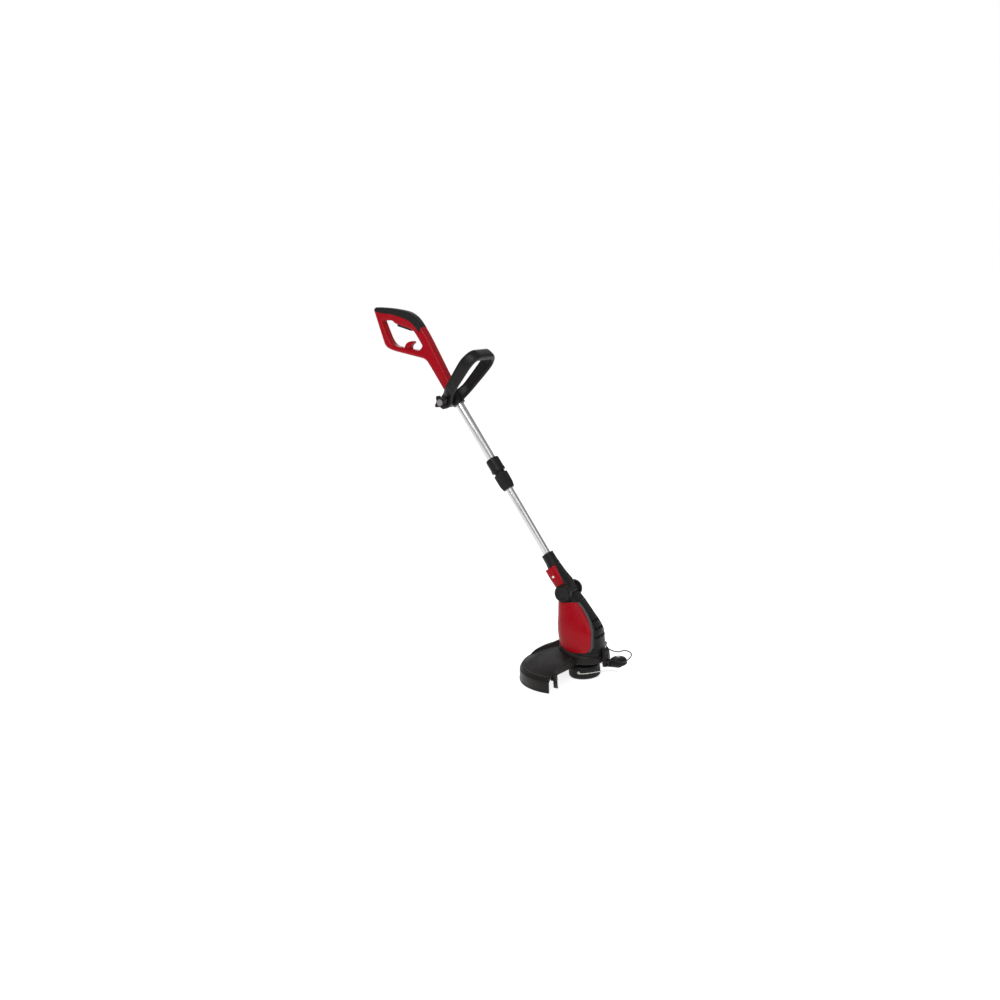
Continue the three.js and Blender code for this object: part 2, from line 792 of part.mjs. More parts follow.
function motor() {
  const poles = [0, 90].map((a) => solid(block(-45, 45, -7, 7, 100, 170).rotateZ(rad(a + 45))));
  const slots = poles.map((pole) => pole.subtract(solid(rod(33, 90, 180))));
  const field = cut(solid(ring(22, 38, 108, 158)), ...slots);
  const bearing = (r, from, to) => solid(ring(SPINDLE_R + 0.15, r, from, to, 20));
  const armature = turned([
    [SPINDLE_R + 0.15, 102],
    [15, 103],
    [17, 108],
    [20.5, 110],
    [20.5, 156],
    [17, 158],
    [14, 161],
    [SPINDLE_R + 0.15, 161],
    [SPINDLE_R + 0.15, 102],
  ]);
  const endPlate = join(
    cut(solid(rod(38, 176.5, 179, 20)), solid(rod(SPINDLE_R + 2, 170, 190))),
    solid(ring(9.8, 12.5, 178, 188, 20)),
    ...[-1, 1].map((side) => solid(block(-4, 4, side * 34 - 3, side * 34 + 3, 158.3, 177))),
  );
  const brushes = join(
    cut(solid(ring(13, 27, 172, 175, 20)), solid(block(-40, 40, -8, 8, 160, 180))),
    solid(block(-4, 4, 10.6, 26, 164, 173)),
    solid(block(-4, 4, -26, -10.6, 164, 173)),
  );
  const blades = [];
  for (let i = 0; i < 8; i++) {
    blades.push(solid(block(12, 33, -1, 1, 89, 99).rotateZ((i * Math.PI) / 4)));
  }
  const fan = join(
    solid(ring(SPINDLE_R + 0.15, 34, 88, 90)),
    solid(ring(SPINDLE_R + 0.15, 9, 89, 99, 16)),
    ...blades,
  );
  return {
    fixed: [
      part("stator", field, steel),
      part("motor_end_plate", endPlate, black),
      part("upper_bearing", bearing(9.5, 179.3, 187), steel),
      part("lower_bearing", bearing(11.1, 60.3, 69), steel),
      part("brush_right", brushes.intersect(solid(block(-50, 50, -50, -0.1, 150, 190))), black),
      part("brush_left", brushes.intersect(solid(block(-50, 50, 0.1, 50, 150, 190))), black),
    ],
    turning: [
      part("armature", solid(armature), copper),
      part("commutator", bearing(10, 162, 175.5), copper),
      part("fan", fan, black),
      part("drive_spindle", solid(rod(SPINDLE_R, 20, 187.5, 20)), steel),
    ],
  };
}

// ---- cutting head -------------------------------------------------------------------------------
const eyeletHoles = () =>
  [0, 180].map((turn) =>
    solid(
      rod(2.5, 40, 50, 12)
        .rotateY(Math.PI / 2)
        .rotateZ(rad(HEAD.eyeletAngle + turn))
        .translate(0, 0, HEAD.eyelet),
    ),
  );

const LINE_RIGHT = [
  [4.6, -44, 25],
  [5.2, -49.5, 25],
  [8.5, -54, 25.2],
  [15, -56, 25.5],
  [24, -53.5, 26],
  [34, -47, 26],
  [44, -37.5, 26],
  [53, -27, 25.5],
  [62, -17.5, 25],
  [72, -9.5, 24.5],
  [83, -3, 24],
  [94, 2.5, 23],
  [105, 7.5, 22],
];
const LINE_LEFT = [
  [-4.6, 44, 25],
  [-5.2, 49.5, 25],
  [-4, 55, 24.8],
  [1, 58.5, 24.5],
  [9, 59, 24],
  [19, 57, 23.5],
  [30, 54, 23],
  [42, 50.5, 22],
  [54, 47, 21],
  [66, 44, 20.5],
  [79, 41.5, 20],
  [93, 39, 20],
];

function cuttingHead() {
  const bore = SPINDLE_R + 0.35;
  const hub = turned([
    [bore, 27],
    [12, 27],
    [12, HEAD.capTop + GAP],
    [HEAD.r, HEAD.capTop + GAP],
    [HEAD.r, 38.5],
    [24, HEAD.coneTop - 1],
    [12, 54],
    [bore, 54],
    [bore, 27],
  ]);
  const cap = turned(
    [
      [20.3, 2.5],
      [42, 2.5],
      [HEAD.r, 8],
      [HEAD.r, HEAD.capTop],
      [43.6, HEAD.capTop],
      [43.6, 9],
      [41, 5.5],
      [20.3, 5.5],
      [20.3, 2.5],
    ],
    28,
  );
  const spool = turned([
    [13, 12],
    [40, 12],
    [40, 13.5],
    [19, 13.5],
    [19, 30.5],
    [40, 30.5],
    [40, 32],
    [13, 32],
    [13, 12],
  ]);
  const button = turned([
    [0, 0],
    [15, 0],
    [19.4, 2],
    [19.8, 4],
    [19.8, 6],
    [12, 6.5],
    [12, 14],
    [0, 14],
  ]);
  return [
    part("head_hub", solid(hub), black),
    part("spool_cap", cut(solid(cap), ...eyeletHoles()), black),
    part("spool", solid(spool), black),
    part("line_winding", solid(ring(19.3, 36, 14, 30)), nylon),
    part("bump_spring", solid(spring(8, 0.7, 15.2, 25.8, 3)), steel),
    part("bump_button", solid(button), black),
    part("line_right", solid(sweep(LINE_RIGHT, LINE_R, 8, 26)), nylon),
    part("line_left", solid(sweep(LINE_LEFT, LINE_R, 8, 24)), nylon),
  ];
}

// ---- guard, edge wheel and plant guard ----------------------------------------------------------
// Height of the guard's inner edge, which slopes down towards the front.
const collarTop = (x) => Math.min(82 - (x < 0 ? 0.4 : 0.19) * x, 99);

const CUT_EDGE = [5, 0.176]; // the guard's two ends run along x = 5 - 0.176 |y|
const endX = (y) => CUT_EDGE[0] - CUT_EDGE[1] * Math.abs(y);

function guardHood() {
  const t = GUARD.thick;
  const hood = turned(
    [
      [30, 92],
      [60, 86],
      [112, 71.5],
      [140, 58.5],
      [GUARD.ridge, 43.5],
      [GUARD.r - 3, 36.5],
      [GUARD.r, 4],
      [GUARD.r - t, 4],
      [GUARD.r - 3 - t, 34.5],
      [GUARD.ridge - t, 40.5],
      [138, 55.5],
      [110, 68.5],
      [60, 82.8],
      [30, 88.5],
      [30, 92],
    ],
    32,
  );
  const p = hood.attributes.position;
  for (let i = 0; i < p.count; i++) {
    const r = Math.hypot(p.getX(i), p.getY(i));
    const inner = THREE.MathUtils.clamp((140 - r) / 80, 0, 1);
    const slope = -0.19 * (p.getX(i) / r) * 60 - 6;
    const onSpine = Math.abs(p.getY(i)) < 1 && p.getX(i) < 0;
    const spine = onSpine ? GUARD.spine * THREE.MathUtils.clamp((165 - r) / 25, 0, 1) : 0;
    p.setZ(i, p.getZ(i) + inner * slope + spine);
  }
  return solid(hood.translate(GUARD.x, 0, 0));
}

// The room behind the guard's two end lines, moved back by inset.
function behindEnds(inset = 0) {
  const far = 220;
  const shape = new THREE.Shape();
  shape.moveTo(CUT_EDGE[0] - inset, 0);
  shape.lineTo(endX(far) - inset, far);
  shape.lineTo(-far - 40, far);
  shape.lineTo(-far - 40, -far);
  shape.lineTo(endX(far) - inset, -far);
  shape.closePath();
  return solid(new THREE.ExtrudeGeometry(shape, { depth: 140, bevelEnabled: false }));
}

// The guard's solid outer form, used to trim its end walls.
function hoodFill() {
  const fill = turned([
    [0, 44],
    [GUARD.ridge - 10, 44],
    [140, 56.5],
    [112, 68],
    [0, 68],
    [0, 44],
  ]);
  return solid(fill.translate(GUARD.x, 0, 0));
}

function guardParts() {
  const endWalls = hoodFill().intersect(behindEnds().subtract(behindEnds(GUARD.thick)));
  const collarForm = (z0, grow) => {
    const body = housingForm([z0, 64, 84, 100], -grow);
    const p = body.attributes.position;
    for (let i = 0; i < p.count; i++) {
      p.setZ(i, Math.min(p.getZ(i), collarTop(p.getX(i))));
    }
    return solid(body);
  };
  const inside = solid(housingForm([GUARD.plateTo, 64, 84, 110, 120], -0.5));
  const holes = GUARD_SCREWS.map(([x, y]) => solid(rod(2.3, 40, 60, 10).translate(x, y, 0)));
  const bossRoom = hoodFill().add(solid(block(-30, -12, -152, -130, 33, 45)));
  const boss = solid(block(-30, -12, -152, -130, 33, 56)).intersect(bossRoom);
  return cut(
    join(guardHood().intersect(behindEnds()), endWalls, collarForm(GUARD.plateFrom, 3.2), boss),
    inside,
    solid(rod(30, 40, 60, 20)),
    solid(rod(HEAD.r + 3, 30, GUARD.plateFrom, 20)),
    ...holes,
    solid(block(-40, 0, -141.9, -140.1, 20, 45)),
    solid(block(-24.2, -17.8, -146, -141, 20, 45)),
  );
}

function guardFixings() {
  const blade = solid(
    slab(
      outline([
        [-29, 44],
        [-13, 44],
        [-13, 12],
        [-16, 6],
        [-29, 18],
      ]),
      0.6,
    ).translate(0, -141, 0),
  );
  const screws = GUARD_SCREWS.map(([x, y], i) =>
    part(
      `guard_screw_${i + 1}`,
      join(
        solid(rod(3.2, 47, GUARD.plateFrom - GAP, 12).translate(x, y, 0)),
        solid(rod(2, 48, 63, 10).translate(x, y, 0)),
      ),
      steel,
    ),
  );
  return [part("cutter_blade", blade, steel), ...screws];
}

function edgeWheel() {
  const root = outline([
    [ARM.root - 2.4, ARM.from],
    [ARM.root - 2.4, 64],
    [ARM.root, 70],
    [ARM.root, 91],
    [74.5, 91, 1.5],
    [78.5, 82, 4],
    [79.5, 66, 3],
    [79.5, ARM.from],
  ]);
  const arm = join(
    solid(slab(root, ARM.rootHalf, 1)),
    solid(block(ARM.root + 5, WHEEL.x, -ARM.half, ARM.half, ARM.from, ARM.to)),
    solid(rod(ARM.half, ARM.from, ARM.to, 20).translate(WHEEL.x, 0, 0)),
  ).subtract(solid(rod(WHEEL.axle + GAP, 30, 60, 16).translate(WHEEL.x, 0, 0)));
  const wheel = turned([
    [WHEEL.axle + 0.15, WHEEL.from],
    [WHEEL.r - 5, WHEEL.from],
    [WHEEL.r, WHEEL.from + 4],
    [WHEEL.r, WHEEL.from + 12],
    [WHEEL.r - 2, WHEEL.to - 6],
    [WHEEL.r - 6.5, WHEEL.to - 2.5],
    [WHEEL.r - 13, WHEEL.to],
    [WHEEL.axle + 0.15, WHEEL.to],
    [WHEEL.axle + 0.15, WHEEL.from],
  ]);
  const axle = join(
    solid(rod(WHEEL.axle, 37.5, WHEEL.to + 1, 16)),
    solid(rod(6, WHEEL.to + GAP, WHEEL.to + 1.8, 20)),
  );
  return [
    part("guide_arm", arm, black),
    part("guide_wheel", solid(wheel.translate(WHEEL.x, 0, 0)), black),
    part("wheel_axle", axle.translate([WHEEL.x, 0, 0]), steel),
  ];
}

function plantGuard() {
  const half = [
    [54, 38, 92],
    [54, 44, 92],
    [54, 46.7, 90],
    [53.5, 46.5, 84],
    [56, 46.5, 77.5],
    [65, 46, 71.5],
    [79, 46, 67.5],
    [95, 45.5, 67.5],
    [107, 44.5, 72],
    [118, 43.5, 74],
    [128, 42, 72.5],
    [135.5, 39, 70],
    [141, 30, 66],
    [142.2, 12, 62.5],
  ];
  const other = half.map(([x, y, z]) => [x, -y, z]).reverse();
  return part("plant_guard", solid(sweep([...half, ...other], BAIL_R, 6, 40)), steel);
}

// ---- assembly -----------------------------------------------------------------------------------
const shaft = new THREE.Group();
shaft.position.set(TILT.x, 0, TILT.z);
shaft.rotation.y = -rad(SHAFT_LEAN);
shaft.add(
  ...rearHandle(),
  trigger(),
  ...tubes(),
  ...telescopicLock(),
  auxHandle(),
  ...auxFixings(),
  ...swivelParts(),
);

const engine = motor();
const trimmer = new THREE.Group();
trimmer.add(
  shaft,
  ...tiltParts(),
  ...housingShells(),
  motorBase(),
  ...engine.fixed,
  ...engine.turning,
  ...cuttingHead(),
  part("guard", guardParts(), black),
  ...guardFixings(),
  ...edgeWheel(),
  plantGuard(),
);

export default trimmer;
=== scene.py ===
"""The looks of a corded electric string trimmer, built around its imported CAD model.

Lengths are millimetres until a piece is settled into the frame, which is in metres. Pieces above
the tilt joint are drawn in the shaft's own frame: x forwards of the shaft, y to the left, z up
along it.
"""

import json
from math import acos, ceil, cos, hypot, pi, radians, sin, sqrt

import bmesh
import bpy
from mathutils import Matrix, Vector


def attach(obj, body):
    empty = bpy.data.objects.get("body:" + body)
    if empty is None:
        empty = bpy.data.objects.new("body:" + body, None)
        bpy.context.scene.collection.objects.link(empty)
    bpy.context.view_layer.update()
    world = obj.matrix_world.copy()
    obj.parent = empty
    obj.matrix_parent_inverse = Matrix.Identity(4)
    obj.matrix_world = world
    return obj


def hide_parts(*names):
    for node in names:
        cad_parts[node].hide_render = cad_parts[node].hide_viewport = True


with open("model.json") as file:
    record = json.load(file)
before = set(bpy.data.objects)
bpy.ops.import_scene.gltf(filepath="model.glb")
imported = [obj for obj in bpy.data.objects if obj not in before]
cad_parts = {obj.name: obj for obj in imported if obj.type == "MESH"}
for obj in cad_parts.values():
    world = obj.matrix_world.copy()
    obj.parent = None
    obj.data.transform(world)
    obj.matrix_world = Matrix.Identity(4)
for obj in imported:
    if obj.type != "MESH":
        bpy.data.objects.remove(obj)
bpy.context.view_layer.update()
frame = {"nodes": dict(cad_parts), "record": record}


def moved(x=0.0, y=0.0, z=0.0):
    return Matrix.Translation((x, y, z))


def rotated(angle, axis):
    return Matrix.Rotation(angle, 4, axis)


# ---- places and driving sizes ----
MM = 0.001
TILT_X, TILT_Z = -32, 258
LEAN = radians(30)
HEAD = Matrix.Scale(MM, 4)
SHAFT = HEAD @ moved(TILT_X, 0, TILT_Z) @ rotated(-LEAN, "Y")
BOLT_X, BOLT_Z = -22, 675
LOOP = SHAFT @ moved(BOLT_X, 0, BOLT_Z) @ rotated(radians(-15.5), "Y")
SHAFT_BODIES = ("handle", "trigger", "knob", "lock", "lower_shaft", "swivel", "swivel_button")
PLACES = {"aux": LOOP, **{body: SHAFT for body in SHAFT_BODIES}}  # all others use HEAD

HANDLE_HALF = 16
SEAM_GAP = 0.25  # half the gap between the handle's shells
UPPER_R, LOWER_R = 12.5, 11
TUBE_FIT = 0.3  # the room round a tube
EAR_R = 25.6
BARREL_R = 19.5
HEAD_R, EYELET_Z = 46.8, 25
EYELET_ANGLES = (radians(-84), radians(96))
GUARD_X = -20
WHEEL_X, WHEEL_R = 113, 25
SHELL_FROM, SHELL_TO = 86.3, 232
WALL = 2.6

# Housing stations: height, centre's x, half length, half width.
HOUSING = (
    (50, 2, 59, 45), (64, 2, 62, 47), (84, 1, 66, 51), (110, -0.5, 67.5, 53), (140, -3, 67, 53),
    (165, -7.5, 61.5, 50), (190, -13.5, 52.5, 45), (215, -20.5, 43.5, 40), (240, -28, 33, 35.5),
    (256, -35, 27, 31),
)
HOUSING_POWER = 2.4
# Where the front cover meets the red shell, as (x, z).
SEAM = (
    (33, 60), (33, 86), (40, 91), (45, 97.5), (47.5, 106), (49, 149), (39, 178), (18, 214),
    (-6, 245),
)
NECK = (
    (0, 0, 20, 27.5), (24, 0, 23.9, 27.5), (40, -2, 23.2, 27), (56, -4.2, 22.5, 26),
    (84, -6, 21.6, 24),
)
NECK_POWER = 3.2
COVER_EDGE = 14  # how far forwards the red cover reaches round the neck
VENTS = ((131, 34), (152.5, 30), (174, 25))  # each row's height and its reach to the side
VENT_HALF = 3.4  # half the height of a vent
BLADE_Y = -141


# ---- outlines ----
def arc(corner, before, after, reach, steps):
    """Points of the arc that rounds a corner, from reach before it to reach after it."""
    to_before, to_after = before - corner, after - corner
    reach = min(reach, 0.48 * to_before.length, 0.48 * to_after.length)
    to_before.normalize()
    to_after.normalize()
    half = acos(max(-1, min(1, to_before.dot(to_after)))) / 2
    if half > 1.55:
        return [corner]
    middle = corner + (to_before + to_after).normalized() * (reach / cos(half))
    start, end = corner + to_before * reach - middle, corner + to_after * reach - middle
    turn = pi - 2 * half
    points = []
    for k in range(steps + 1):
        t = k / steps
        points.append(middle + (sin((1 - t) * turn) * start + sin(t * turn) * end) / sin(turn))
    return points


def rounded(corners, steps=6, closed=True):
    """Corners of (u, v, rounding) as points, with an arc at each corner that has a rounding."""
    points = []
    last = len(corners) - 1
    for i, (u, v, *extra) in enumerate(corners):
        corner = Vector((u, v))
        reach = extra[0] if extra else 0
        if reach == 0 or (not closed and i in (0, last)):
            points.append(corner)
            continue
        before = Vector(corners[i - 1][:2])
        after = Vector(corners[(i + 1) % len(corners)][:2])
        points += arc(corner, before, after, reach, steps)
    return points


def smooth(table, at):
    """A table's values at a position, on a smooth curve through its rows of (position, values)."""
    rows = [Vector(row) for row in table]
    if at <= rows[0][0]:
        return rows[0][1:]
    if at >= rows[-1][0]:
        return rows[-1][1:]
    i = next(k for k, row in enumerate(rows) if row[0] > at) - 1
    a, b = rows[i], rows[i + 1]
    step = b[0] - a[0]
    before = rows[max(i - 1, 0)]
    after = rows[min(i + 2, len(rows) - 1)]
    slope_a = (b - before) / (b[0] - before[0])
    slope_b = (after - a) / (after[0] - a[0])
    t = (at - a[0]) / step
    value = (
        (2 * t**3 - 3 * t**2 + 1) * a
        + (t**3 - 2 * t**2 + t) * step * slope_a
        + (3 * t**2 - 2 * t**3) * b
        + (t**3 - t**2) * step * slope_b
    )
    return value[1:]


def step_up(t):
    """0 below 0, 1 above 1, and a smooth rise between."""
    t = max(0.0, min(1.0, t))
    return t * t * (3 - 2 * t)


def superellipse(angle, a, b, power):
    """The point in a direction on a round-cornered section."""
    c, s = cos(angle), sin(angle)
    k = (abs(c / a) ** power + abs(s / b) ** power) ** (-1 / power)
    return k * c, k * s


def spread(start, end, count):
    return [start + (end - start) * i / (count - 1) for i in range(count)]


def directions(count):
    """Angles once round a circle."""
    return [i / count * 2 * pi for i in range(count)]


# ---- meshes ----
def linked(name, data):
    """A new object in the scene."""
    made = bpy.data.objects.new(name, data)
    bpy.context.scene.collection.objects.link(made)
    return made


def new_object(name, points, faces):
    mesh = bpy.data.meshes.new(name)
    mesh.from_pydata([tuple(p) for p in points], [], faces)
    work = bmesh.new()
    work.from_mesh(mesh)
    bmesh.ops.remove_doubles(work, verts=work.verts, dist=1e-4)
    bmesh.ops.dissolve_degenerate(work, edges=work.edges, dist=1e-5)
    bmesh.ops.recalc_face_normals(work, faces=work.faces)
    work.to_mesh(mesh)
    work.free()
    return linked(name, mesh)


def grid(name, rows, wrap_rows=False, caps=True):
    """A body whose surface is a grid of points, closed across its first and last rows."""
    width = len(rows[0])
    points = [p for row in rows for p in row]
    faces = []
    for j in range(len(rows) if wrap_rows else len(rows) - 1):
        up = (j + 1) % len(rows)
        for i in range(width):
            side = (i + 1) % width
            faces.append((j * width + i, j * width + side, up * width + side, up * width + i))
    if caps and not wrap_rows:
        faces.append(tuple(range(width)))
        faces.append(tuple(range(len(points) - width, len(points))))
    return new_object(name, points, faces)


def turned(name, profile, sides=96, shape=None):
    """A body turned about Z from (radius, z) points, closed or from axis to axis.
    shape(angle, radius, z) can change a point's radius."""
    rows = []
    for r, z in profile:
        row = []
        for a in directions(sides):
            radius = shape(a, r, z) if shape and r > 0 else r
            row.append((radius * cos(a), radius * sin(a), z))
        rows.append(row)
    on_axis = profile[0][0] == 0 and profile[-1][0] == 0
    return grid(name, rows, wrap_rows=not on_axis, caps=False)


def lathe(name, corners, steps=4, sides=96, shape=None):
    """A turned body from a profile's corners, each with its rounding."""
    return turned(name, rounded(corners, steps, closed=corners[0][0] > 0), sides, shape)


def pin(name, r, start, end, edge=0.4, sides=48):
    return lathe(name, ((0, start), (r, start, edge), (r, end, edge), (0, end)), 3, sides)


def move(made, matrix):
    made.data.transform(matrix)
    return made


def shift(made, x=0.0, y=0.0, z=0.0):
    return move(made, moved(x, y, z))


def along_y(made, x=0.0, z=0.0):
    """Lays a body built along Z along +Y, and puts its axis at x, z."""
    return move(made, moved(x, 0, z) @ rotated(-pi / 2, "X"))


def plate(name, loops, half, edge=0.0, grow=0.0, steps=4):
    """An outline in x and z, with its openings, made thick along Y and rounded at its edges."""
    curve = bpy.data.curves.new(name, "CURVE")
    curve.dimensions = "2D"
    curve.fill_mode = "BOTH"
    curve.extrude = half - edge
    curve.bevel_depth = edge
    curve.bevel_resolution = steps
    curve.offset = grow - edge
    for loop in loops:
        spline = curve.splines.new("POLY")
        spline.points.add(len(loop) - 1)
        for point, (u, v) in zip(spline.points, loop):
            point.co = (u, v, 0, 1)
        spline.use_cyclic_u = True
    holder = linked(name, curve)
    mesh = baked(holder)
    points = [v.co.copy() for v in mesh.vertices]
    faces = [tuple(f.vertices) for f in mesh.polygons]
    bpy.data.objects.remove(holder)
    bpy.data.curves.remove(curve)
    bpy.data.meshes.remove(mesh)
    made = new_object(name, points, faces)
    return move(made, rotated(pi / 2, "X"))


def baked(holder):
    bpy.context.view_layer.update()
    seen = bpy.context.evaluated_depsgraph_get()
    return bpy.data.meshes.new_from_object(holder.evaluated_get(seen))


def apply(made):
    """Makes an object's modifiers part of its mesh."""
    mesh = baked(made)
    old = made.data
    made.modifiers.clear()
    made.data = mesh
    bpy.data.meshes.remove(old)
    return made


def carve(made, tool, operation="DIFFERENCE"):
    """Cuts, joins or keeps what is shared with another body, and removes that body."""
    modifier = made.modifiers.new("carve", "BOOLEAN")
    modifier.operation = operation
    modifier.solver = "EXACT"
    modifier.object = tool
    apply(made)
    bpy.data.objects.remove(tool)
    return made


def soften(made, width, steps=2, angle=40):
    modifier = made.modifiers.new("soften", "BEVEL")
    modifier.width = width
    modifier.segments = steps
    modifier.limit_method = "ANGLE"
    modifier.angle_limit = radians(angle)
    return apply(made)


def box(name, x, y, z, edge=0.0):
    corners = [(x[i], y[j], z[k]) for i in (0, 1) for j in (0, 1) for k in (0, 1)]
    faces = ((0, 1, 3, 2), (4, 6, 7, 5), (0, 4, 5, 1), (2, 3, 7, 6), (0, 2, 6, 4), (1, 5, 7, 3))
    made = new_object(name, corners, faces)
    return soften(made, edge, 3) if edge else made


def gather(made, *others):
    """Puts several bodies in one mesh."""
    work = bmesh.new()
    for o in (made, *others):
        work.from_mesh(o.data)
    work.to_mesh(made.data)
    work.free()
    for o in others:
        bpy.data.objects.remove(o)
    return made


def settle(made, body, slot, *nodes, finish=None, crease=32):
    """Puts a body into the frame, riding on its CAD body and standing for its CAD nodes."""
    made.data.transform(PLACES.get(body, HEAD))
    made.data.shade_smooth()
    made.data.set_sharp_from_angle(angle=radians(crease))
    made.data.materials.clear()
    made.data.materials.append(finish or NODE_FINISH[slot])
    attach(made, body)
    if nodes:
        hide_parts(*nodes)
    return made


def lofted(name, table, power, heights, inset=0.0, sides=120):
    """A stack of round-cornered sections through heights."""
    rows = []
    for z in heights:
        cx, a, b = smooth(table, z)
        ring = [superellipse(angle, a - inset, b - inset, power) for angle in directions(sides)]
        rows.append([(cx + u, v, z) for u, v in ring])
    return grid(name, rows)


def housing_ring(station, z, grow=0.0, sides=160):
    """Points at height z round the housing's section at a station, grown outwards."""
    cx, a, b = smooth(HOUSING, station)
    ring = [superellipse(t, a + grow, b + grow, HOUSING_POWER) for t in directions(sides)]
    return [(cx + u, v, z) for u, v in ring]


# ---- finishes ----
def wire(tree, node, inputs):
    """Fills a node's inputs, by name or number: links the sockets given, and sets the rest."""
    for name, value in inputs.items():
        if isinstance(value, bpy.types.NodeSocket):
            tree.links.new(value, node.inputs[name])
        else:
            node.inputs[name].default_value = value


def add_node(tree, kind, inputs, output, **settings):
    """One output of a new shader node."""
    node = tree.nodes.new("ShaderNode" + kind)
    for name, value in settings.items():
        setattr(node, name, value)
    wire(tree, node, inputs)
    return node.outputs[output]


class Finish:
    """A procedural material, put together node by node, in the row frame's metres."""

    def __init__(self, name, colour, roughness, metallic=0.0):
        self.material = bpy.data.materials.new(name)
        self.material.use_nodes = True
        self.material.diffuse_color = (*colour, 1)
        self.tree = self.material.node_tree
        self.set({"Metallic": metallic, "Roughness": roughness, "Base Color": (*colour, 1)})
        self.place = add_node(self.tree, "TexCoord", {}, "Object")
        self.colour = colour
        self.roughness = roughness

    def set(self, inputs):
        wire(self.tree, self.tree.nodes["Principled BSDF"], inputs)

    def noise(self, scale, detail=2.0, place=None):
        inputs = {"Scale": scale, "Detail": detail, "Vector": place or self.place}
        return add_node(self.tree, "TexNoise", inputs, "Fac")

    def along_shaft(self, across, along):
        """Coordinates turned to the shaft and stretched along it."""
        turned_to = {"Rotation": (0, LEAN, 0), "Vector": self.place}
        stretched = {"Scale": (across, across, along)}
        stretched["Vector"] = add_node(self.tree, "Mapping", turned_to, "Vector")
        return add_node(self.tree, "Mapping", stretched, "Vector")

    def between(self, value, low, high, to_low, to_high):
        inputs = {"Value": value, "From Min": low, "From Max": high}
        inputs |= {"To Min": to_low, "To Max": to_high}
        return add_node(self.tree, "MapRange", inputs, "Result")

    def mix(self, factor, first, second):
        """Colours the surface with a mix of two colours."""
        inputs = {"Factor": factor, "A": first, "B": second}
        mixed = add_node(self.tree, "Mix", inputs, "Result", data_type="RGBA")
        self.set({"Base Color": mixed})
        return mixed

    def tint(self, value, dark, light):
        """Colour that runs from dark to light times the finish's own."""
        darker = (*(c * dark for c in self.colour), 1)
        lighter = (*(min(c * light, 1) for c in self.colour), 1)
        return self.mix(value, darker, lighter)

    def worn(self, mixed, colour, amount):
        """Paler along sharp edges."""
        edges = add_node(self.tree, "NewGeometry", {}, "Pointiness")
        sharp = self.between(edges, 0.53, 0.62, 0, amount)
        patches = self.between(self.noise(160), 0.42, 0.62, 0, 1)
        patchy = add_node(self.tree, "Math", {0: sharp, 1: patches}, "Value", operation="MULTIPLY")
        self.mix(patchy, mixed, (*colour, 1))

    def gloss(self, value, by):
        rough = self.between(value, 0.3, 0.7, self.roughness - by, self.roughness + by)
        self.set({"Roughness": rough})

    def relief(self, value, depth, strength=1.0):
        inputs = {"Strength": strength, "Distance": depth * MM, "Height": value}
        self.set({"Normal": add_node(self.tree, "Bump", inputs, "Normal")})


def plastic(name, colour, roughness, grain, depth, wear, variation=0.12):
    """Moulded plastic: fine grain, slightly uneven colour and gloss, paler worn edges."""
    made = Finish(name, colour, roughness)
    made.set({"Specular IOR Level": 0.15})
    mixed = made.tint(made.noise(26, 3), 1 - variation, 1 + variation)
    made.worn(mixed, tuple(c * 0.7 + 0.07 for c in colour), wear)
    made.gloss(made.noise(70, 4), 0.06)
    made.relief(made.noise(grain, 3), depth)
    return made.material


def rubber(name, colour, roughness):
    """Soft overmould: fine pebbling and a dusty unevenness."""
    made = Finish(name, colour, roughness)
    made.tint(made.noise(45, 5), 0.7, 1.5)
    made.gloss(made.noise(120, 3), 0.08)
    pebbles = {"Scale": 900, "Vector": made.place}
    made.relief(add_node(made.tree, "TexVoronoi", pebbles, "Distance"), 0.12, 0.8)
    made.set({"Sheen Weight": 0.04, "Specular IOR Level": 0.2})
    return made.material


def drawn_metal(name, colour, roughness, streak):
    """Drawn metal: fine lines along the shaft and soft smudges."""
    made = Finish(name, colour, roughness, 1.0)
    lines = made.noise(1, 2, made.along_shaft(2200, streak))
    made.tint(made.noise(18, 3), 0.93, 1.05)
    made.gloss(lines, 0.07)
    made.relief(lines, 0.012)
    return made.material


def machined(name, colour, roughness, scale=500):
    """Plated or ground metal, with fine mottling."""
    made = Finish(name, colour, roughness, 1.0)
    made.tint(made.noise(scale / 5, 4), 0.82, 1.1)
    made.gloss(made.noise(scale, 4), 0.09)
    made.relief(made.noise(scale * 3, 2), 0.02)
    return made.material


def drawn_nylon(name, colour):
    made = Finish(name, colour, 0.32)
    made.tint(made.noise(220, 3), 0.88, 1.08)
    made.gloss(made.noise(600, 2), 0.08)
    made.relief(made.noise(900, 2), 0.03)
    made.set({"Subsurface Weight": 0.25, "Subsurface Scale": 0.002})
    return made.material


RED = plastic("red_plastic", (0.29, 0.0002, 0.006), 0.3, 900, 0.035, 0.3, 0.08)
BLACK = plastic("black_plastic", (0.0105, 0.0095, 0.0095), 0.38, 1300, 0.06, 0.4)
GUARD_BLACK = plastic("guard_plastic", (0.011, 0.009, 0.0085), 0.42, 1000, 0.07, 0.5, 0.16)
HEAD_BLACK = plastic("head_nylon", (0.009, 0.0085, 0.0085), 0.44, 1500, 0.09, 0.8, 0.2)
GREY = plastic("grey_plastic", (0.2, 0.19, 0.19), 0.38, 1100, 0.04, 0.3)
SOFT = rubber("soft_rubber", (0.006, 0.0058, 0.0056), 0.6)
SHEATH = rubber("lead_rubber", (0.01, 0.01, 0.01), 0.5)
ALUMINIUM = drawn_metal("drawn_aluminium", (0.6, 0.605, 0.6), 0.3, 12)
STEEL = machined("plated_steel", (0.58, 0.59, 0.6), 0.3)
BLADE_STEEL = machined("blackened_steel", (0.07, 0.066, 0.066), 0.4, 800)
# A paler black: painted highlight for the strips along the front cover's seam lip.
LIP_HIGHLIGHT = plastic("lip_painted_highlight", (0.07, 0.064, 0.066), 0.4, 1300, 0.05, 0.2)
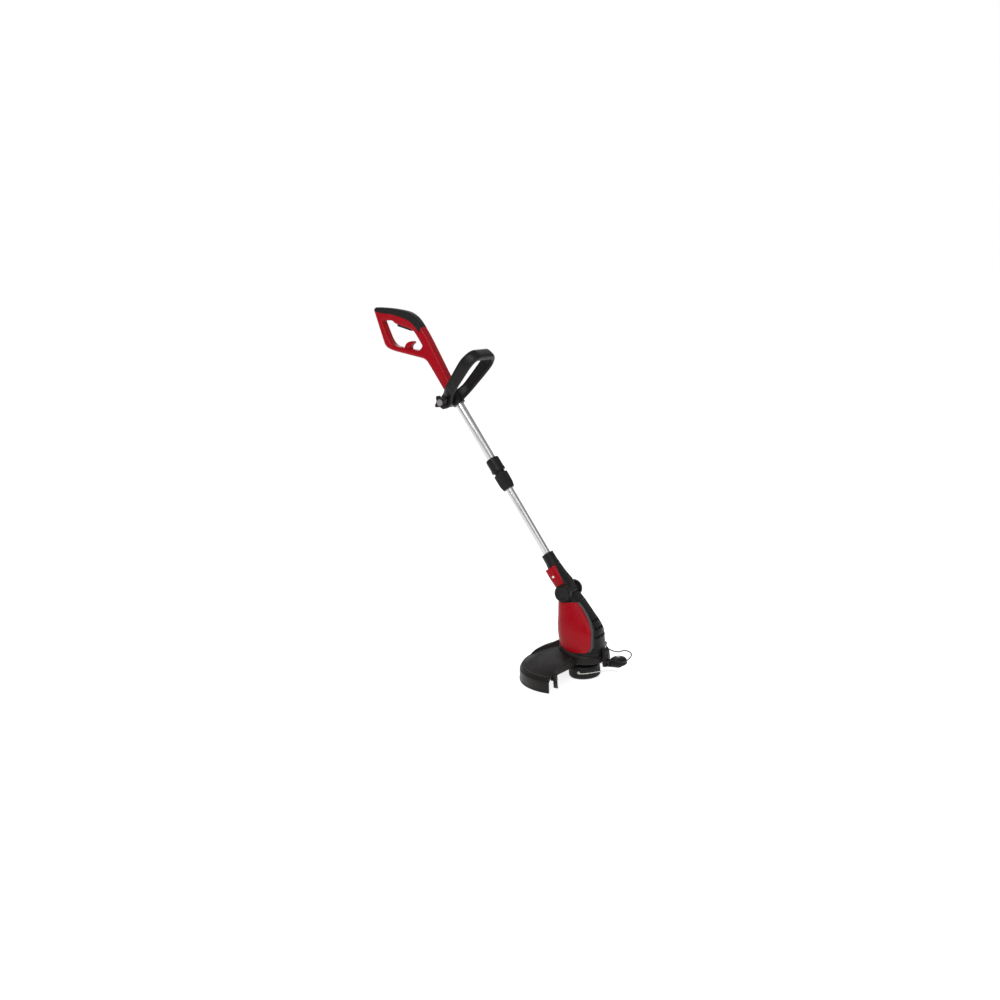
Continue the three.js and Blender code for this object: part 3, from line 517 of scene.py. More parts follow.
COPPER = machined("lacquered_copper", (0.6, 0.27, 0.13), 0.35)
WIRE = plastic("coated_wire", (0.007, 0.007, 0.0072), 0.34, 1500, 0.03, 0.2)
NYLON = drawn_nylon("nylon_line", (0.74, 0.74, 0.7))

NODE_FINISH = {
    "shell_red": RED,
    "body_black": BLACK,
    "knob_black": BLACK,
    "head_black": HEAD_BLACK,
    "soft_grip": SOFT,
    "tube_aluminium": ALUMINIUM,
    "steel_parts": STEEL,
    "blade_steel": BLADE_STEEL,
    "bail_wire": WIRE,
    "copper_parts": COPPER,
    "line_nylon": NYLON,
    "lead_black": SHEATH,
}


def dress_cad_nodes():
    """Gives each CAD node, most of which stay out of sight inside, its slot's finish."""
    for row in frame["record"]["subparts"]:
        node = frame["nodes"][row["node"]]
        node.data.materials.clear()
        node.data.materials.append(NODE_FINISH[row["material_slot"]])
        node.data.shade_smooth()
        node.data.set_sharp_from_angle(angle=radians(38))


# ---- camera and lines ----
CAMERA_PLACE = (1.3238, -2.4703, 0.9988)
CAMERA_RIGHT = (0.8488, 0.5215, -0.0872)
CAMERA_AHEAD = (-0.5287, 0.8337, -0.1594)


def add_camera():
    data = bpy.data.cameras.new("camera")
    data.sensor_width = 36
    data.lens = 35.425
    data.dof.use_dof = False
    camera = linked("camera", data)
    right = Vector(CAMERA_RIGHT).normalized()
    ahead = Vector(CAMERA_AHEAD).normalized()
    up = right.cross(ahead).normalized()
    right = ahead.cross(up)
    turn = Matrix((right, up, -ahead)).transposed().to_4x4()
    camera.matrix_world = moved(*CAMERA_PLACE) @ turn
    bpy.context.scene.camera = camera


LINE_R = 0.9
LINE_RIGHT = (
    (4.6, -44, 25), (5.2, -49.5, 25), (8.5, -54, 25.2), (15, -56, 25.5), (24, -53.5, 26),
    (34, -47, 26), (44, -37.5, 26), (53, -27, 25.5), (62, -17.5, 25), (72, -9.5, 24.5),
    (83, -3, 24), (94, 2.5, 23), (105, 7.5, 22),
)
LINE_LEFT = (
    (-4.6, 44, 25), (-5.2, 49.5, 25), (-4, 55, 24.8), (1, 58.5, 24.5), (9, 59, 24), (19, 57, 23.5),
    (30, 54, 23), (42, 50.5, 22), (54, 47, 21), (66, 44, 20.5), (79, 41.5, 20), (93, 39, 20),
)


def through(points, per_span=6):
    """A smooth curve through points, as close points."""
    table = [(i, *p) for i, p in enumerate(points)]
    count = (len(points) - 1) * per_span
    return [Vector(smooth(table, i / per_span)) for i in range(count + 1)]


def nylon_end(name, points, node):
    """One end of the cutting line, a curve with a round section."""
    path = [p * MM for p in through(points)]
    curve = bpy.data.curves.new(name, "CURVE")
    curve.dimensions = "3D"
    curve.bevel_depth = LINE_R * MM
    curve.bevel_resolution = 3
    curve.use_fill_caps = True
    spline = curve.splines.new("POLY")
    spline.points.add(len(path) - 1)
    for point, p in zip(spline.points, path):
        point.co = (*p, 1)
    made = linked(name, curve)
    curve.materials.append(NYLON)
    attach(made, "cutting_head")
    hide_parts(node)


add_camera()
nylon_end("right_line_end", LINE_RIGHT, "line_right")
nylon_end("left_line_end", LINE_LEFT, "line_left")


# ---- rear handle ----
HANDLE_OUTLINE = (
    (-15, 706), (-15, 822, 16), (-103, 912, 30), (-121, 938, 26), (-87, 1063, 14), (-30, 1019, 40),
    (27, 962, 36), (31, 890, 40), (18, 730, 40), (18, 706),
)
HAND_OPENING = (
    (-83, 1011, 5), (-52, 989, 4), (-46, 973, 5), (-2, 919, 15), (-2, 861, 5), (-21, 857, 5),
    (-36, 870, 8), (-66, 899, 11), (-91, 921, 16), (-95, 948, 16),
)
GRIP_BAND = (
    (-99, 1062), (-72, 1031, 8), (-38, 1002, 12), (-14, 974, 12), (3, 950, 12), (11, 927, 12),
    (14, 898, 4), (60, 928), (60, 1100), (-99, 1100),
)
CORD_HOOK = (
    (-68, 893), (-60, 900, 5), (-52, 904, 7), (-40, 902.5, 6), (-27, 896.5, 3.7), (-25, 889.5, 3.4),
    (-38, 889, 5), (-45.5, 886, 5), (-51, 870),
)
TRIGGER_TOP = Vector((-46, 973))
TRIGGER_RUN = Vector((43, -53)).normalized()
SCREWS = ((-14, 838), (-72, 889), (-108, 946), (-84, 1033))


def trigger_point(along, out):
    """A point on the trigger's edge: along it from its rear end, and out of the grip."""
    across = Vector((TRIGGER_RUN.y, -TRIGGER_RUN.x))
    return TRIGGER_TOP + TRIGGER_RUN * along + across * out


def trigger_outline(corners, steps=6):
    return rounded([(*trigger_point(s, d), r) for s, d, r in corners], steps)


def handle_form(name, half, edge, grow=0.0):
    loops = [rounded(HANDLE_OUTLINE, 10), rounded(HAND_OPENING, 8)]
    return plate(name, loops, half, edge, grow, 6)


def cut_rooms(made, recesses=()):
    """Cuts the trigger's slot, the tube's hole, the screws' recesses and the inlet's place."""
    slot = [(1, 14, 0), (1, -16, 0), (24, -16, 0), (66.5, -11, 0), (66.5, 14, 0)]
    carve(made, plate("slot", [trigger_outline(slot)], 7.8))
    carve(made, pin("tube_hole", UPPER_R + TUBE_FIT, 690, 815))
    for x, z in recesses:
        carve(made, along_y(pin("recess", 4.1, 9, 20, 0), x, z))
    return carve(made, box("inlet_hole", (-130, -98), (-11, 11), (961.7, 984.3)))


def handle_body():
    body = handle_form("handle_body", HANDLE_HALF, 7)
    carve(body, plate("hook", [rounded(CORD_HOOK, 6)], 9, 2.2), "UNION")
    skin = plate("skin", [rounded(GRIP_BAND, 8)], 40)
    carve(skin, handle_form("core", HANDLE_HALF - 3, 5, -3))
    return cut_rooms(carve(body, skin), SCREWS)


def copy_of(made, name):
    return linked(name, made.data.copy())


def rear_handle():
    body = handle_body()
    left = copy_of(body, "left_shell")
    body.name = "right_shell"
    carve(body, box("right", (-200, 100), (-40, -SEAM_GAP), (600, 1200)), "INTERSECT")
    carve(left, box("left", (-200, 100), (SEAM_GAP, 40), (600, 1200)), "INTERSECT")
    gather(left, cut_rooms(handle_form("tongue", 1.2, 0, -1.6)))
    settle(body, "handle", "shell_red", "handle_shell_right")
    settle(left, "handle", "shell_red", "handle_shell_left")
    cover = handle_form("soft_cover", HANDLE_HALF + 0.5, 7.4, 0.5)
    carve(cover, plate("band", [rounded(GRIP_BAND, 8)], 40, 0, -0.35), "INTERSECT")
    carve(cover, handle_form("core", HANDLE_HALF - 2.8, 5, -2.8))
    settle(cover, "handle", "soft_grip", "grip_cover")


def trigger():
    shape = [(3, 7, 4), (60, 6, 6), (64, 1, 4), (64, -8, 2), (3, -9, 2)]
    made = plate("trigger_lever", [trigger_outline(shape)], 7, 2, 0, 5)
    for along in (18, 28, 38):
        x, z = trigger_point(along, 11.2)
        carve(made, along_y(pin("groove", 5.2, -12, 12, 0), x, z))
    settle(made, "trigger", "body_black", "trigger")


def cross_head(name, r, height, shank_r, length):
    """A pan-head screw along Z, head on top at z = height, with a cross recess."""
    corners = ((0, -length), (shank_r, -length, 0.4), (shank_r, 0), (r, 0, 0.3))
    corners += ((r, height, 0.9), (0, height))
    made = lathe(name, corners, sides=32)
    for turn in (0, pi / 2):
        slot = box("recess", (-r * 0.6, r * 0.6), (-0.45, 0.45), (height - 0.9, height + 1))
        carve(made, move(slot, rotated(turn, "Z")))
    return made


def handle_screws():
    for i, (x, z) in enumerate(SCREWS):
        made = cross_head(f"case_screw_{i + 1}", 3.6, 2.4, 1.9, 16)
        along_y(shift(made, z=9.4), x, z)
        settle(made, "handle", "steel_parts", f"handle_screw_{i + 1}")


def power_inlet():
    made = box("inlet_socket", (-109, -98.3), (-10.7, 10.7), (962, 984), 1)
    for y in (-5, 5):
        prong = pin("prong", 1.8, 0, 6, 0.8, 24)
        move(prong, moved(-108, y, 973) @ rotated(-pi / 2, "Y"))
        gather(made, prong)
    settle(made, "handle", "body_black", "power_inlet")


# ---- shaft ----
def tube(name, outer, inner, start, end):
    corners = ((inner, start, 0.3), (outer, start, 0.3), (outer, end, 0.3), (inner, end, 0.3))
    return lathe(name, corners, 2)


def tubes():
    upper = tube("outer_tube", UPPER_R, 11.4, 400, 812)
    settle(upper, "handle", "tube_aluminium", "upper_tube")
    lower = tube("inner_tube", LOWER_R, 9.8, 88.3, 560)
    settle(lower, "lower_shaft", "tube_aluminium", "lower_tube")


def fluted(count, depth, start, end, power, above):
    """A radius rule: grooves along a body outside a radius, between two heights."""

    def shape(angle, r, z):
        if r <= above:
            return r
        window = step_up((z - start) / 3) * step_up((end - z) / 3)
        wave = (0.5 - 0.5 * cos(count * angle)) ** power
        return r - depth * window * wave

    return shape


def telescopic_lock():
    profile = [(12.8, 374), (16, 374), (16, 409.6), (20.4, 410), (21.5, 410.6)]
    profile += [(21.8, 411.8), (21.8, 416), (21.6, 418), (20.9, 421), (20.8, 423), (20.8, 448)]
    profile += [(20.5, 450.5), (19.6, 452.8), (18.4, 454.4), (17, 455), (14.5, 455), (12.8, 454.8)]
    sleeve = turned("fixed_sleeve", profile, 144)
    for angle in (250, 310):
        rib = box("rib", (20.2, 21.3), (-1.2, 1.2), (424, 447), 0.4)
        gather(sleeve, move(rib, rotated(radians(angle), "Z")))
    settle(sleeve, "handle", "body_black", "tube_sleeve")

    profile = [(11.3, 350), (16.2, 350), (17.4, 350.5), (17.9, 352)]
    profile += [(17.9 + 3.2 * step_up((z - 348) / 22), z) for z in spread(353, 368, 8)]
    profile += [(21.1 + 0.5 * min((z - 369) / 20, 1), z) for z in spread(370, 398, 15)]
    profile += [(21.6, 400), (21, 401.4), (19.8, 402), (16.3, 402), (16.3, 372), (11.3, 370)]
    nut = turned("clamp_nut", profile, 240, fluted(20, 1.6, 354, 400, 0.5, 17.2))
    settle(nut, "lock", "body_black", "lock_nut")


# ---- loop handle ----
# The loop's outer and inner edges in its own plane, corner by corner, as (along, across, rounding).
LOOP_OUTER = (
    (-21.5, -31.5), (14, -32, 12), (42, -53, 18), (100, -62, 25), (158, -68, 24), (194, -50, 22),
)
LOOP_INNER = (
    (-21.5, -20.5), (16, -20.5, 10), (46, -42, 14), (100, -50.5, 25), (152, -55, 12),
    (172, -44, 14),
)


def loop_edge(corners):
    """Half of one edge and its mirror image, with points that pair up between the two edges."""
    table = [Vector(c[:2]) for c in corners]
    table.append(Vector((corners[-1][0], -corners[-1][1])))
    parts = [[table[0]]]
    for i, (_, _, reach) in enumerate(corners[1:], 1):
        parts.append(arc(table[i], table[i - 1], table[i + 1], reach, 10))
    half = []
    for part, after in zip(parts, parts[1:]):
        half += part + [part[-1].lerp(after[0], k / 24) for k in range(1, 24)]
    half += parts[-1]
    mirrored = [Vector((p.x, -p.y)) for p in half[::-1]]
    bar_points = [half[-1].lerp(mirrored[0], k / 72) for k in range(1, 72)]
    return half + bar_points + mirrored


def loop_depth(a):
    """Half the loop's depth: round ends at the bolt, and slightly slimmer at the top."""
    foot = sqrt(max(0.03, 1 - min(0.0, a / 21.7) ** 2))
    slimmer = 3 * step_up((a - 8) / 38) - 2.2 * step_up((a - 50) / 90)
    slimmer += 2.4 * step_up((a - 150) / 44)
    return (20.6 - slimmer) * foot


def loop_handle():
    rows = []
    for outer, inner in zip(loop_edge(LOOP_OUTER), loop_edge(LOOP_INNER)):
        middle, across = (outer + inner) / 2, (outer - inner) / 2
        width, depth = across.length, loop_depth(middle.x)
        out = across.normalized()
        on_bar = step_up((middle.x - 178) / 4)
        grip = on_bar * step_up((38 - abs(middle.y)) / 2)
        rib = 0.5 - 0.5 * cos(middle.y * 2 * pi / 6.4)
        seam = 0.6 * on_bar * step_up(1 - abs(abs(middle.y) - 41) / 1.3)
        row = []
        for angle in directions(44):
            u, v = superellipse(angle, width - seam, depth - seam, 3.2)
            if u < 0:
                u += 2.2 * grip * rib * (-u / width)
            row.append((middle.x + out.x * u, middle.y + out.y * u, v))
        rows.append(row)
    made = grid("loop_grip", rows)
    for side in (-1, 1):
        boss = lathe("boss", ((0, 0), (14, 0, 1), (14, 2.2, 1), (0, 2.2)), sides=64)
        gather(made, move(boss, moved(y=side * 30.2) @ rotated(-side * pi / 2, "X")))
    settle(made, "aux", "body_black", "aux_handle")


def hexagon(angle, r, z):
    return min(r, 6.1 / cos((angle % (pi / 3)) - pi / 6))


def loop_fixings():
    corners = ((12.8, 649), (18.4, 649, 1), (19.4, 651, 1.2), (18.5, 660, 2), (18.5, 697, 1.5))
    corners += ((17.2, 700, 1), (12.8, 700))
    clamp = lathe("clamp_ring", corners)
    block = box("clamp_block", (-33, -8), (-20, 20), (658, 692), 3)
    carve(block, pin("tube_room", UPPER_R + TUBE_FIT, 640, 705, 0, 96))
    gather(clamp, block)
    settle(clamp, "handle", "body_black", "aux_clamp")

    bolt = pin("loop_bolt", 4, -52, 33, 0.5, 32)
    corners = ((0, 32.5), (7, 32.5, 0.4), (7, 37, 1), (0, 37))
    gather(bolt, lathe("head", corners, shape=hexagon))
    settle(along_y(bolt, BOLT_X, BOLT_Z), "knob", "steel_parts", "aux_bolt")

    lobes = []
    for a in directions(144):
        r = 14.2 + 8.8 * (0.5 + 0.5 * cos(4 * a)) ** 1.5
        lobes.append(Vector((r * cos(a), r * sin(a))))
    knob = shift(plate("wing_knob", [lobes], 7.5, 2.6, 0, 5), y=-49.5)
    stem = ((0, 34), (11, 34, 1), (11, 44), (0, 44))
    hub = ((0, 56), (11.5, 56), (11.5, 58, 0.9), (0, 58))
    for corners in (stem, hub):
        gather(knob, move(lathe("disc", corners, sides=64), rotated(pi / 2, "X")))
    shift(knob, BOLT_X, 0, BOLT_Z)
    settle(knob, "knob", "knob_black", "star_knob")
    cap = lathe("knob_cap", ((0, 57.6), (10, 57.6), (10, 58.8, 0.7), (0, 58.8)), sides=64)
    move(cap, moved(BOLT_X, 0, BOLT_Z) @ rotated(pi / 2, "X"))
    settle(cap, "knob", "knob_black", finish=GREY)


# ---- swivel and tilt ----
BUTTON_X, BUTTON_Z, BUTTON_R = -6.5, 56.5, 9


def neck_form(name, inset=0.0):
    return lofted(name, NECK, NECK_POWER, spread(0, 84, 29), inset, 96)


def neck_core(name, inset, half):
    """What stays inside the cover: the neck's core and its whole front."""
    core = neck_form(name, inset)
    return carve(core, box("core_front", (0, 45), (-half, half), (-2, 90)), "UNION")


def swivel():
    bracket = neck_form("neck_bracket")
    rear = box("rear", (-45, COVER_EDGE + 0.15), (-45, 45), (23.9, 90))
    carve(rear, neck_core("core", 2.9, 13))
    carve(bracket, rear)
    corners = [(0, -28), (BARREL_R, -28, 1.2)]
    for z in (14.5, 21):
        corners += [(BARREL_R, z, 0.3), (18.6, z + 1, 0.5)]
        corners += [(18.6, z + 2.5, 0.5), (BARREL_R, z + 3.5, 0.3)]
    corners += [(BARREL_R, 28, 1.2), (0, 28)]
    carve(bracket, along_y(lathe("barrel", corners)), "UNION")
    carve(bracket, pin("spigot_room", 12.35, 50, 95, 0, 64))
    soften(bracket, 0.5, 2, 50)
    for z, half in ((34, 8), (48, 9), (62, 8)):
        cx, a, _ = smooth(NECK, z)
        gather(bracket, box("bump", (cx + a - 1.5, cx + a + 1), (-half, half), (z - 4, z + 4), 1))
    settle(bracket, "swivel", "body_black", "swivel_bracket")

    cover = neck_form("neck_cover")
    carve(cover, box("keep", (-45, COVER_EDGE - 0.15), (-45, 45), (24.2, 90)), "INTERSECT")
    carve(cover, neck_core("core", WALL, 13.3))
    carve(cover, along_y(pin("hole", BUTTON_R + 0.3, -40, 0, 0, 64), BUTTON_X, BUTTON_Z))
    soften(cover, 0.5, 2, 50)
    settle(cover, "swivel", "shell_red", "bracket_cover")

    corners = ((7, 46), (13.6, 46), (13.6, 50), (12, 50), (12, 84.5), (20.5, 84.5, 0.8))
    corners += ((20.3, 88, 0.8), (18.7, 102.5, 3), (18.7, 117, 0.4), (18.1, 118, 0.4))
    corners += ((18.1, 120, 0.4), (18.7, 121, 0.4), (18.7, 124, 0.8), (17.7, 126, 0.6))
    corners += ((11.3, 126), (11.3, 88), (7, 88))
    socket = lathe("shaft_socket", corners)
    settle(socket, "lower_shaft", "body_black", "tube_socket")

    corners = ((0, -26.4), (6.6, -26.4), (7.2, -27, 0.3), (8.2, -27, 0.5), (9, -25.8, 0.6))
    corners += ((9, -18.5), (0, -18.5))
    button = lathe("release_button", corners, 3, 64)
    settle(along_y(button, BUTTON_X, BUTTON_Z), "swivel_button", "shell_red", "swivel_button")
    corners = ((0, -27.1), (3.6, -27.1, 0.3), (3.6, -26.2), (0, -26.2))
    dot = lathe("release_button_dot", corners, 3, 48)
    settle(along_y(dot, BUTTON_X, BUTTON_Z), "swivel_button", "line_nylon")


def ear_outline():
    """The side of an ear: round at the joint, and spreading down to the housing's top."""
    arc_points = []
    for i in range(41):
        a = radians(-40 + 260 * i / 40)
        arc_points.append(Vector((TILT_X + EAR_R * cos(a), TILT_Z + EAR_R * sin(a))))
    foot = [Vector((TILT_X - 15, 233.5)), Vector((TILT_X + 15, 233.5))]
    return arc_points + foot


def apron():
    """The housing's front, carried on up to the barrel."""
    corners = ((10.5, 232.2), (0, 245.5, 3), (-7, 255.5, 2), (-14, 255.5))
    corners += ((-14, 240), (-32, 236), (-32, 232.2))
    made = plate("apron", [rounded(corners, 4)], 29.5, 1)
    form = lofted("apron_form", HOUSING, HOUSING_POWER, spread(230, 256, 27), -0.8)
    carve(made, form, "INTERSECT")
    room = along_y(pin("barrel_room", BARREL_R + 0.9, -40, 40, 0, 96), TILT_X, TILT_Z)
    return soften(carve(made, room), 0.7, 3, 50)


def tilt_yoke():
    yoke = plate("yoke_ears", [ear_outline()], 2.5, 0.8, 0, 3)
    twin = copy_of(yoke, "ear")
    shift(yoke, y=31.5)
    gather(yoke, shift(twin, y=-31.5))
    saddle = ((232.4, 0.2), (233.2, 0.1), (234.4, 0.6), (235.4, 2.2), (235.9, 5))
    rows = [housing_ring(232.4, z, -inset, 120) for z, inset in saddle]
    gather(yoke, grid("saddle", rows), apron())
    corners = ((23.7, -34.2), (23.7, -41.4, 0.5), (EAR_R, -41.4, 1.4), (EAR_R, -34.2))
    rim = along_y(lathe("rim", corners, sides=120), TILT_X, TILT_Z)
    corners = ((0, 33.5), (EAR_R, 33.5), (EAR_R, 38.6, 2.5), (22.5, 40, 1), (20, 40, 0.5))
    corners += ((19, 38.4, 0.5), (0, 38.4))
    boss = along_y(lathe("boss", corners, sides=120), TILT_X, TILT_Z)
    gather(yoke, rim, boss)
    settle(yoke, "head", "body_black", "tilt_yoke")

    corners = ((0, -43.2), (8, -43.2, 0.4), (9, -42.2, 0.4), (14.5, -42.2, 0.4), (15.5, -44, 0.5))
    corners += ((21, -44.6, 0.8), (23.3, -42.4, 0.8), (23.3, -37.5), (0, -37.5))
    disc = lathe("tilt_disc", corners, sides=120)
    settle(along_y(disc, TILT_X, TILT_Z), "tilt_button", "body_black", "tilt_button")


# ---- motor housing ----
def last_angle(inside):
    """The largest angle between 0 and pi for which inside(angle) still holds."""
    low, high = 0.0, pi
    for _ in range(40):
        middle = (low + high) / 2
        low, high = (middle, high) if inside(middle) else (low, middle)
    return (low + high) / 2


def seam_x(z):
    return smooth([(height, x) for x, height in SEAM], z)[0]


def seam_angle(z, cx, a, b):
    """The direction from a section's centre to where it crosses the seam."""
    return last_angle(lambda angle: cx + superellipse(angle, a, b, HOUSING_POWER)[0] > seam_x(z))


def lip_rise(run):
    """How far the front cover stands out, by the distance from the seam: a lip and a step."""
    return 2.0 * min(run / 7, 1) - 1.6 * step_up((run - 7.2) / 1.6)


def shell_rows(name, front, columns, levels):
    """A housing shell, as a closed grid that follows the seam, with its wall's thickness."""
    rows = []
    for z in levels:
        cx, a, b = smooth(HOUSING, z)
        outer, inner = [], []
        for skin, side in ((0.0, outer), (WALL, inner)):
            seam = seam_angle(z, cx, a - skin, b - skin)
            clear = 0.15 / max(b - skin, 1)
            start, end = -seam + clear, seam - clear
            if not front:
                start, end = seam + clear, 2 * pi - seam - clear
            for i in range(columns):
                t = i / (columns - 1)
                angle = start + (end - start) * t
                u, v = superellipse(angle, a - skin, b - skin, HOUSING_POWER)
                if front and skin == 0:
                    run = min(t, 1 - t) * (end - start) * hypot(u, v)
                    rise = lip_rise(run) * step_up((z - SHELL_FROM) / 3 + 0.4)
                    size = hypot(u, v)
                    u, v = u * (1 + rise / size), v * (1 + rise / size)
                side.append((cx + u, v, z))
        rows.append(outer + inner[::-1])
    return grid(name, rows)


def seam_highlight_strip(side):
    """A paler strip that edges the front cover, along one seam: a painted highlight, the light
    caught by the lip put into its colour.
    """
    rows = []
    for z in spread(90, SHELL_TO - 1, 80):
        cx, a, b = smooth(HOUSING, z)
        seam = seam_angle(z, cx, a, b)
        outer, inner = [], []
        for run in (0.8, 3, 5, 6.6):
            u, v = superellipse(seam - run / b, a, b, HOUSING_POWER)
            size = hypot(u, v)
            for under, edge in ((0.25, outer), (-0.8, inner)):
                grown = 1 + (lip_rise(run) + under) / size
                edge.append((cx + u * grown, side * v * grown, z))
        rows.append(outer + inner[::-1])
    return grid("seam_highlight_strip", rows)


def vent_shade_sheet():
    """A dark sheet close inside the front shell, behind the vents: painted shade standing in for
    the shadow inside the slots.
    """
    rows = []
    for z in spread(122, 182, 21):
        cx, a, b = smooth(HOUSING, z)
        outer, inner = [], []
        for y in spread(-34, 34, 25):
            for inset, side in ((WALL + 1, outer), (WALL + 1.8, inner)):
                side.append((cx + front_reach(y, a - inset, b - inset), y, z))
        rows.append(outer + inner[::-1])
    return grid("vent_shade_sheet", rows)


def front_reach(y, a, b):
    """How far forwards of its centre a section's front is, at a distance to the side."""
    return a * (1 - (abs(y) / b) ** HOUSING_POWER) ** (1 / HOUSING_POWER)


def slot_spans(reach):
    """The three slots of a vent row, as spans across the front."""
    return ((-reach, -10), (-7, 7), (10, reach))


def louvres():
    """Fins under each vent, along the front shell's surface."""
    made = []
    for level, reach in VENTS:
        for low, high in slot_spans(reach):
            cx, a, b = smooth(HOUSING, level - 4.4)
            path = []
            for y in spread(low - 0.6, high + 0.6, 16):
                path.append(Vector((cx + front_reach(y, a, b) + 0.5, y, level - 4.4)))
            made.append(bar("louvre", path, 1.6, 1.0))
    return made


def direction_at(path, i):
    return (path[min(i + 1, len(path) - 1)] - path[max(i - 1, 0)]).normalized()


def bar(name, path, half_out, half_up):
    """A rounded bar along a level path."""
    rows = []
    for i, p in enumerate(path):
        ahead = direction_at(path, i)
        out = ahead.cross(Vector((0, 0, 1))).normalized()
        taper = sqrt(max(0.05, 1 - (abs(2 * i / (len(path) - 1) - 1)) ** 8))
        row = []
        for angle in directions(12):
            u, v = superellipse(angle, half_out * taper, half_up * taper, 2.4)
            row.append(p + out * u + Vector((0, 0, v)))
        rows.append(row)
    return grid(name, rows)


def housing():
    levels = [SHELL_FROM, SHELL_FROM + 0.6] + spread(87.5, 108, 22) + spread(110, 228, 56)
    levels += [SHELL_TO - 0.9, SHELL_TO]
    rear = shell_rows("rear_shell", False, 120, levels)
    soften(rear, 0.7, 3, 55)
    settle(rear, "head", "shell_red", "motor_shell_rear")

    front = shell_rows("front_cover", True, 160, levels)
    for z, reach in VENTS:
        for low, high in slot_spans(reach):
            under, over = z - VENT_HALF, z + VENT_HALF
            ends = ((low, under, 2), (high, under, 2), (high, over, 2), (low, over, 2))
            slot = plate("slot", [rounded(ends, 5)], 40)
            move(slot, moved(54, 0, 0) @ rotated(pi / 2, "Z"))
            carve(front, slot)
    for fin in louvres():
        gather(front, fin)
    for side in (-1, 1):
        boss = lathe("boss", ((0, 30), (6, 30), (5, 44, 1.4), (0, 44)), sides=48)
        carve(boss, pin("bore", 2, 36.5, 50, 0, 24))
        along_y(boss, 54, 92)
        if side < 0:
            move(boss, rotated(pi, "Z") @ moved(-108, 0, 0))
        gather(front, boss)
    settle(front, "head", "body_black", "motor_cover_front")
    # Paler strips along both seams: a painted highlight on the cover's lip.
    highlight_strips = seam_highlight_strip(1)
    gather(highlight_strips, seam_highlight_strip(-1))
    settle(highlight_strips, "head", "body_black", finish=LIP_HIGHLIGHT)
    # A dark sheet behind the vents: painted shade inside the slots.
    settle(vent_shade_sheet(), "head", "body_black", finish=HEAD_BLACK)


def motor_base():
    profile = ((56, 3.5), (56, 0.8), (57, 0), (64, 0), (72, 0), (80, 0), (84.6, 0))
    profile += ((85.6, 0.5), (86, 1.4), (86, 2.6), (60, 2.6), (60, 3.5))
    made = grid("base_ring", [housing_ring(z, z, -inset) for z, inset in profile], wrap_rows=True)
    cx, a, b = smooth(HOUSING, 57)
    ring = [superellipse(t, a * 0.97 - 2, b * 0.97 - 2, HOUSING_POWER) for t in directions(160)]
    floor = grid("base_floor", [[(cx + u, v, z) for u, v in ring] for z in (56.2, 59.8)])
    gather(made, carve(floor, pin("bore", 8, 50, 64, 0, 48)))
    settle(made, "head", "body_black", "motor_base")


# ---- guard ----
def collar_top(x):
    return min(82 - (0.4 if x < 0 else 0.19) * x, 99)


def end_x(y):
    """Where the guard's two ends run, in x, for a distance from the middle."""
    return 5 - 0.176 * abs(y)


def end_angle(r):
    """The direction from the guard's centre to its end line at a radius."""
    return last_angle(lambda angle: GUARD_X + r * cos(angle) > end_x(r * sin(angle)))


HOOD_OUTER = (
    (40, 90), (60, 86, 6), (112, 71.5, 14), (140, 58.5, 10), (161, 47.1, 1), (163, 47.6, 1),
    (168.5, 44.4, 1.4), (169.5, 41.5, 1.4), (174, 36.5, 4), (176, 8, 1), (177, 7, 0.8),
    (177, 4, 0.5), (173.6, 4, 0.5),
)
HOOD_INNER = (
    (173.2, 9), (170.8, 34.5, 4), (164, 40.5, 5), (138, 55.5, 10), (110, 68.5, 14), (60, 82.8, 6),
    (40, 86.5),
)


def hood_point(r, z, angle):
    """A point of the hood: its inner part slopes to the front, and a spine runs to the rear."""
    x, y = GUARD_X + r * cos(angle), r * sin(angle)
    inner = max(0.0, min(1.0, (140 - r) / 80))
    z += inner * (-0.19 * cos(angle) * 60 - 6)
    spine = step_up((17 - abs(y)) / 5) * step_up((165 - r) / 28)
    if cos(angle) < 0:
        z += (9 + 3 * step_up((90 - r) / 30)) * spine
    return x, y, z


def hood_line():
    """The hood's section, once round its wall, with steps close enough for its slopes."""
    line = rounded(HOOD_OUTER, 4, closed=False) + rounded(HOOD_INNER, 4, closed=False)
    dense = []
    for start, end in zip(line, line[1:]):
        count = max(1, ceil((end - start).length / 7))
        dense += [start.lerp(end, k / count) for k in range(count)]
    return dense + [line[-1]]


def hood_columns(r, count=230):
    """Directions from one end of the hood to the other, closer together at the spine."""
    first = end_angle(r)
    half = count // 2
    rear = [first + (pi - first) * (1 - (1 - k / half) ** 1.35) for k in range(half)]
    return rear + [pi] + [2 * pi - a for a in rear[::-1]]


def hood():
    line = hood_line()
    columns = [hood_columns(p.x) for p in line]
    rows = []
    for i in range(len(columns[0])):
        rows.append([hood_point(p.x, p.y, columns[k][i]) for k, p in enumerate(line)])
    return grid("guard_hood", rows)


def end_wall(side):
    """The wall that closes one end of the hood, from its top down to its lower edge."""
    table = [(p.x, p.y) for p in rounded(HOOD_OUTER[:9], 3, closed=False)]
    rows = []
    for r in spread(44, 170.5, 60):
        (r0, z0), (r1, z1) = next(pair for pair in zip(table, table[1:]) if pair[1][0] >= r)
        top = z0 + (z1 - z0) * (r - r0) / (r1 - r0)
        x, y, z = hood_point(r, top - 1.2, end_angle(r))
        y *= side
        rows.append([(x - 0.2, y, 44), (x - 0.2, y, z), (x - 3, y, z), (x - 3, y, 44)])
    return soften(grid("end_wall", rows), 0.5, 2, 60)


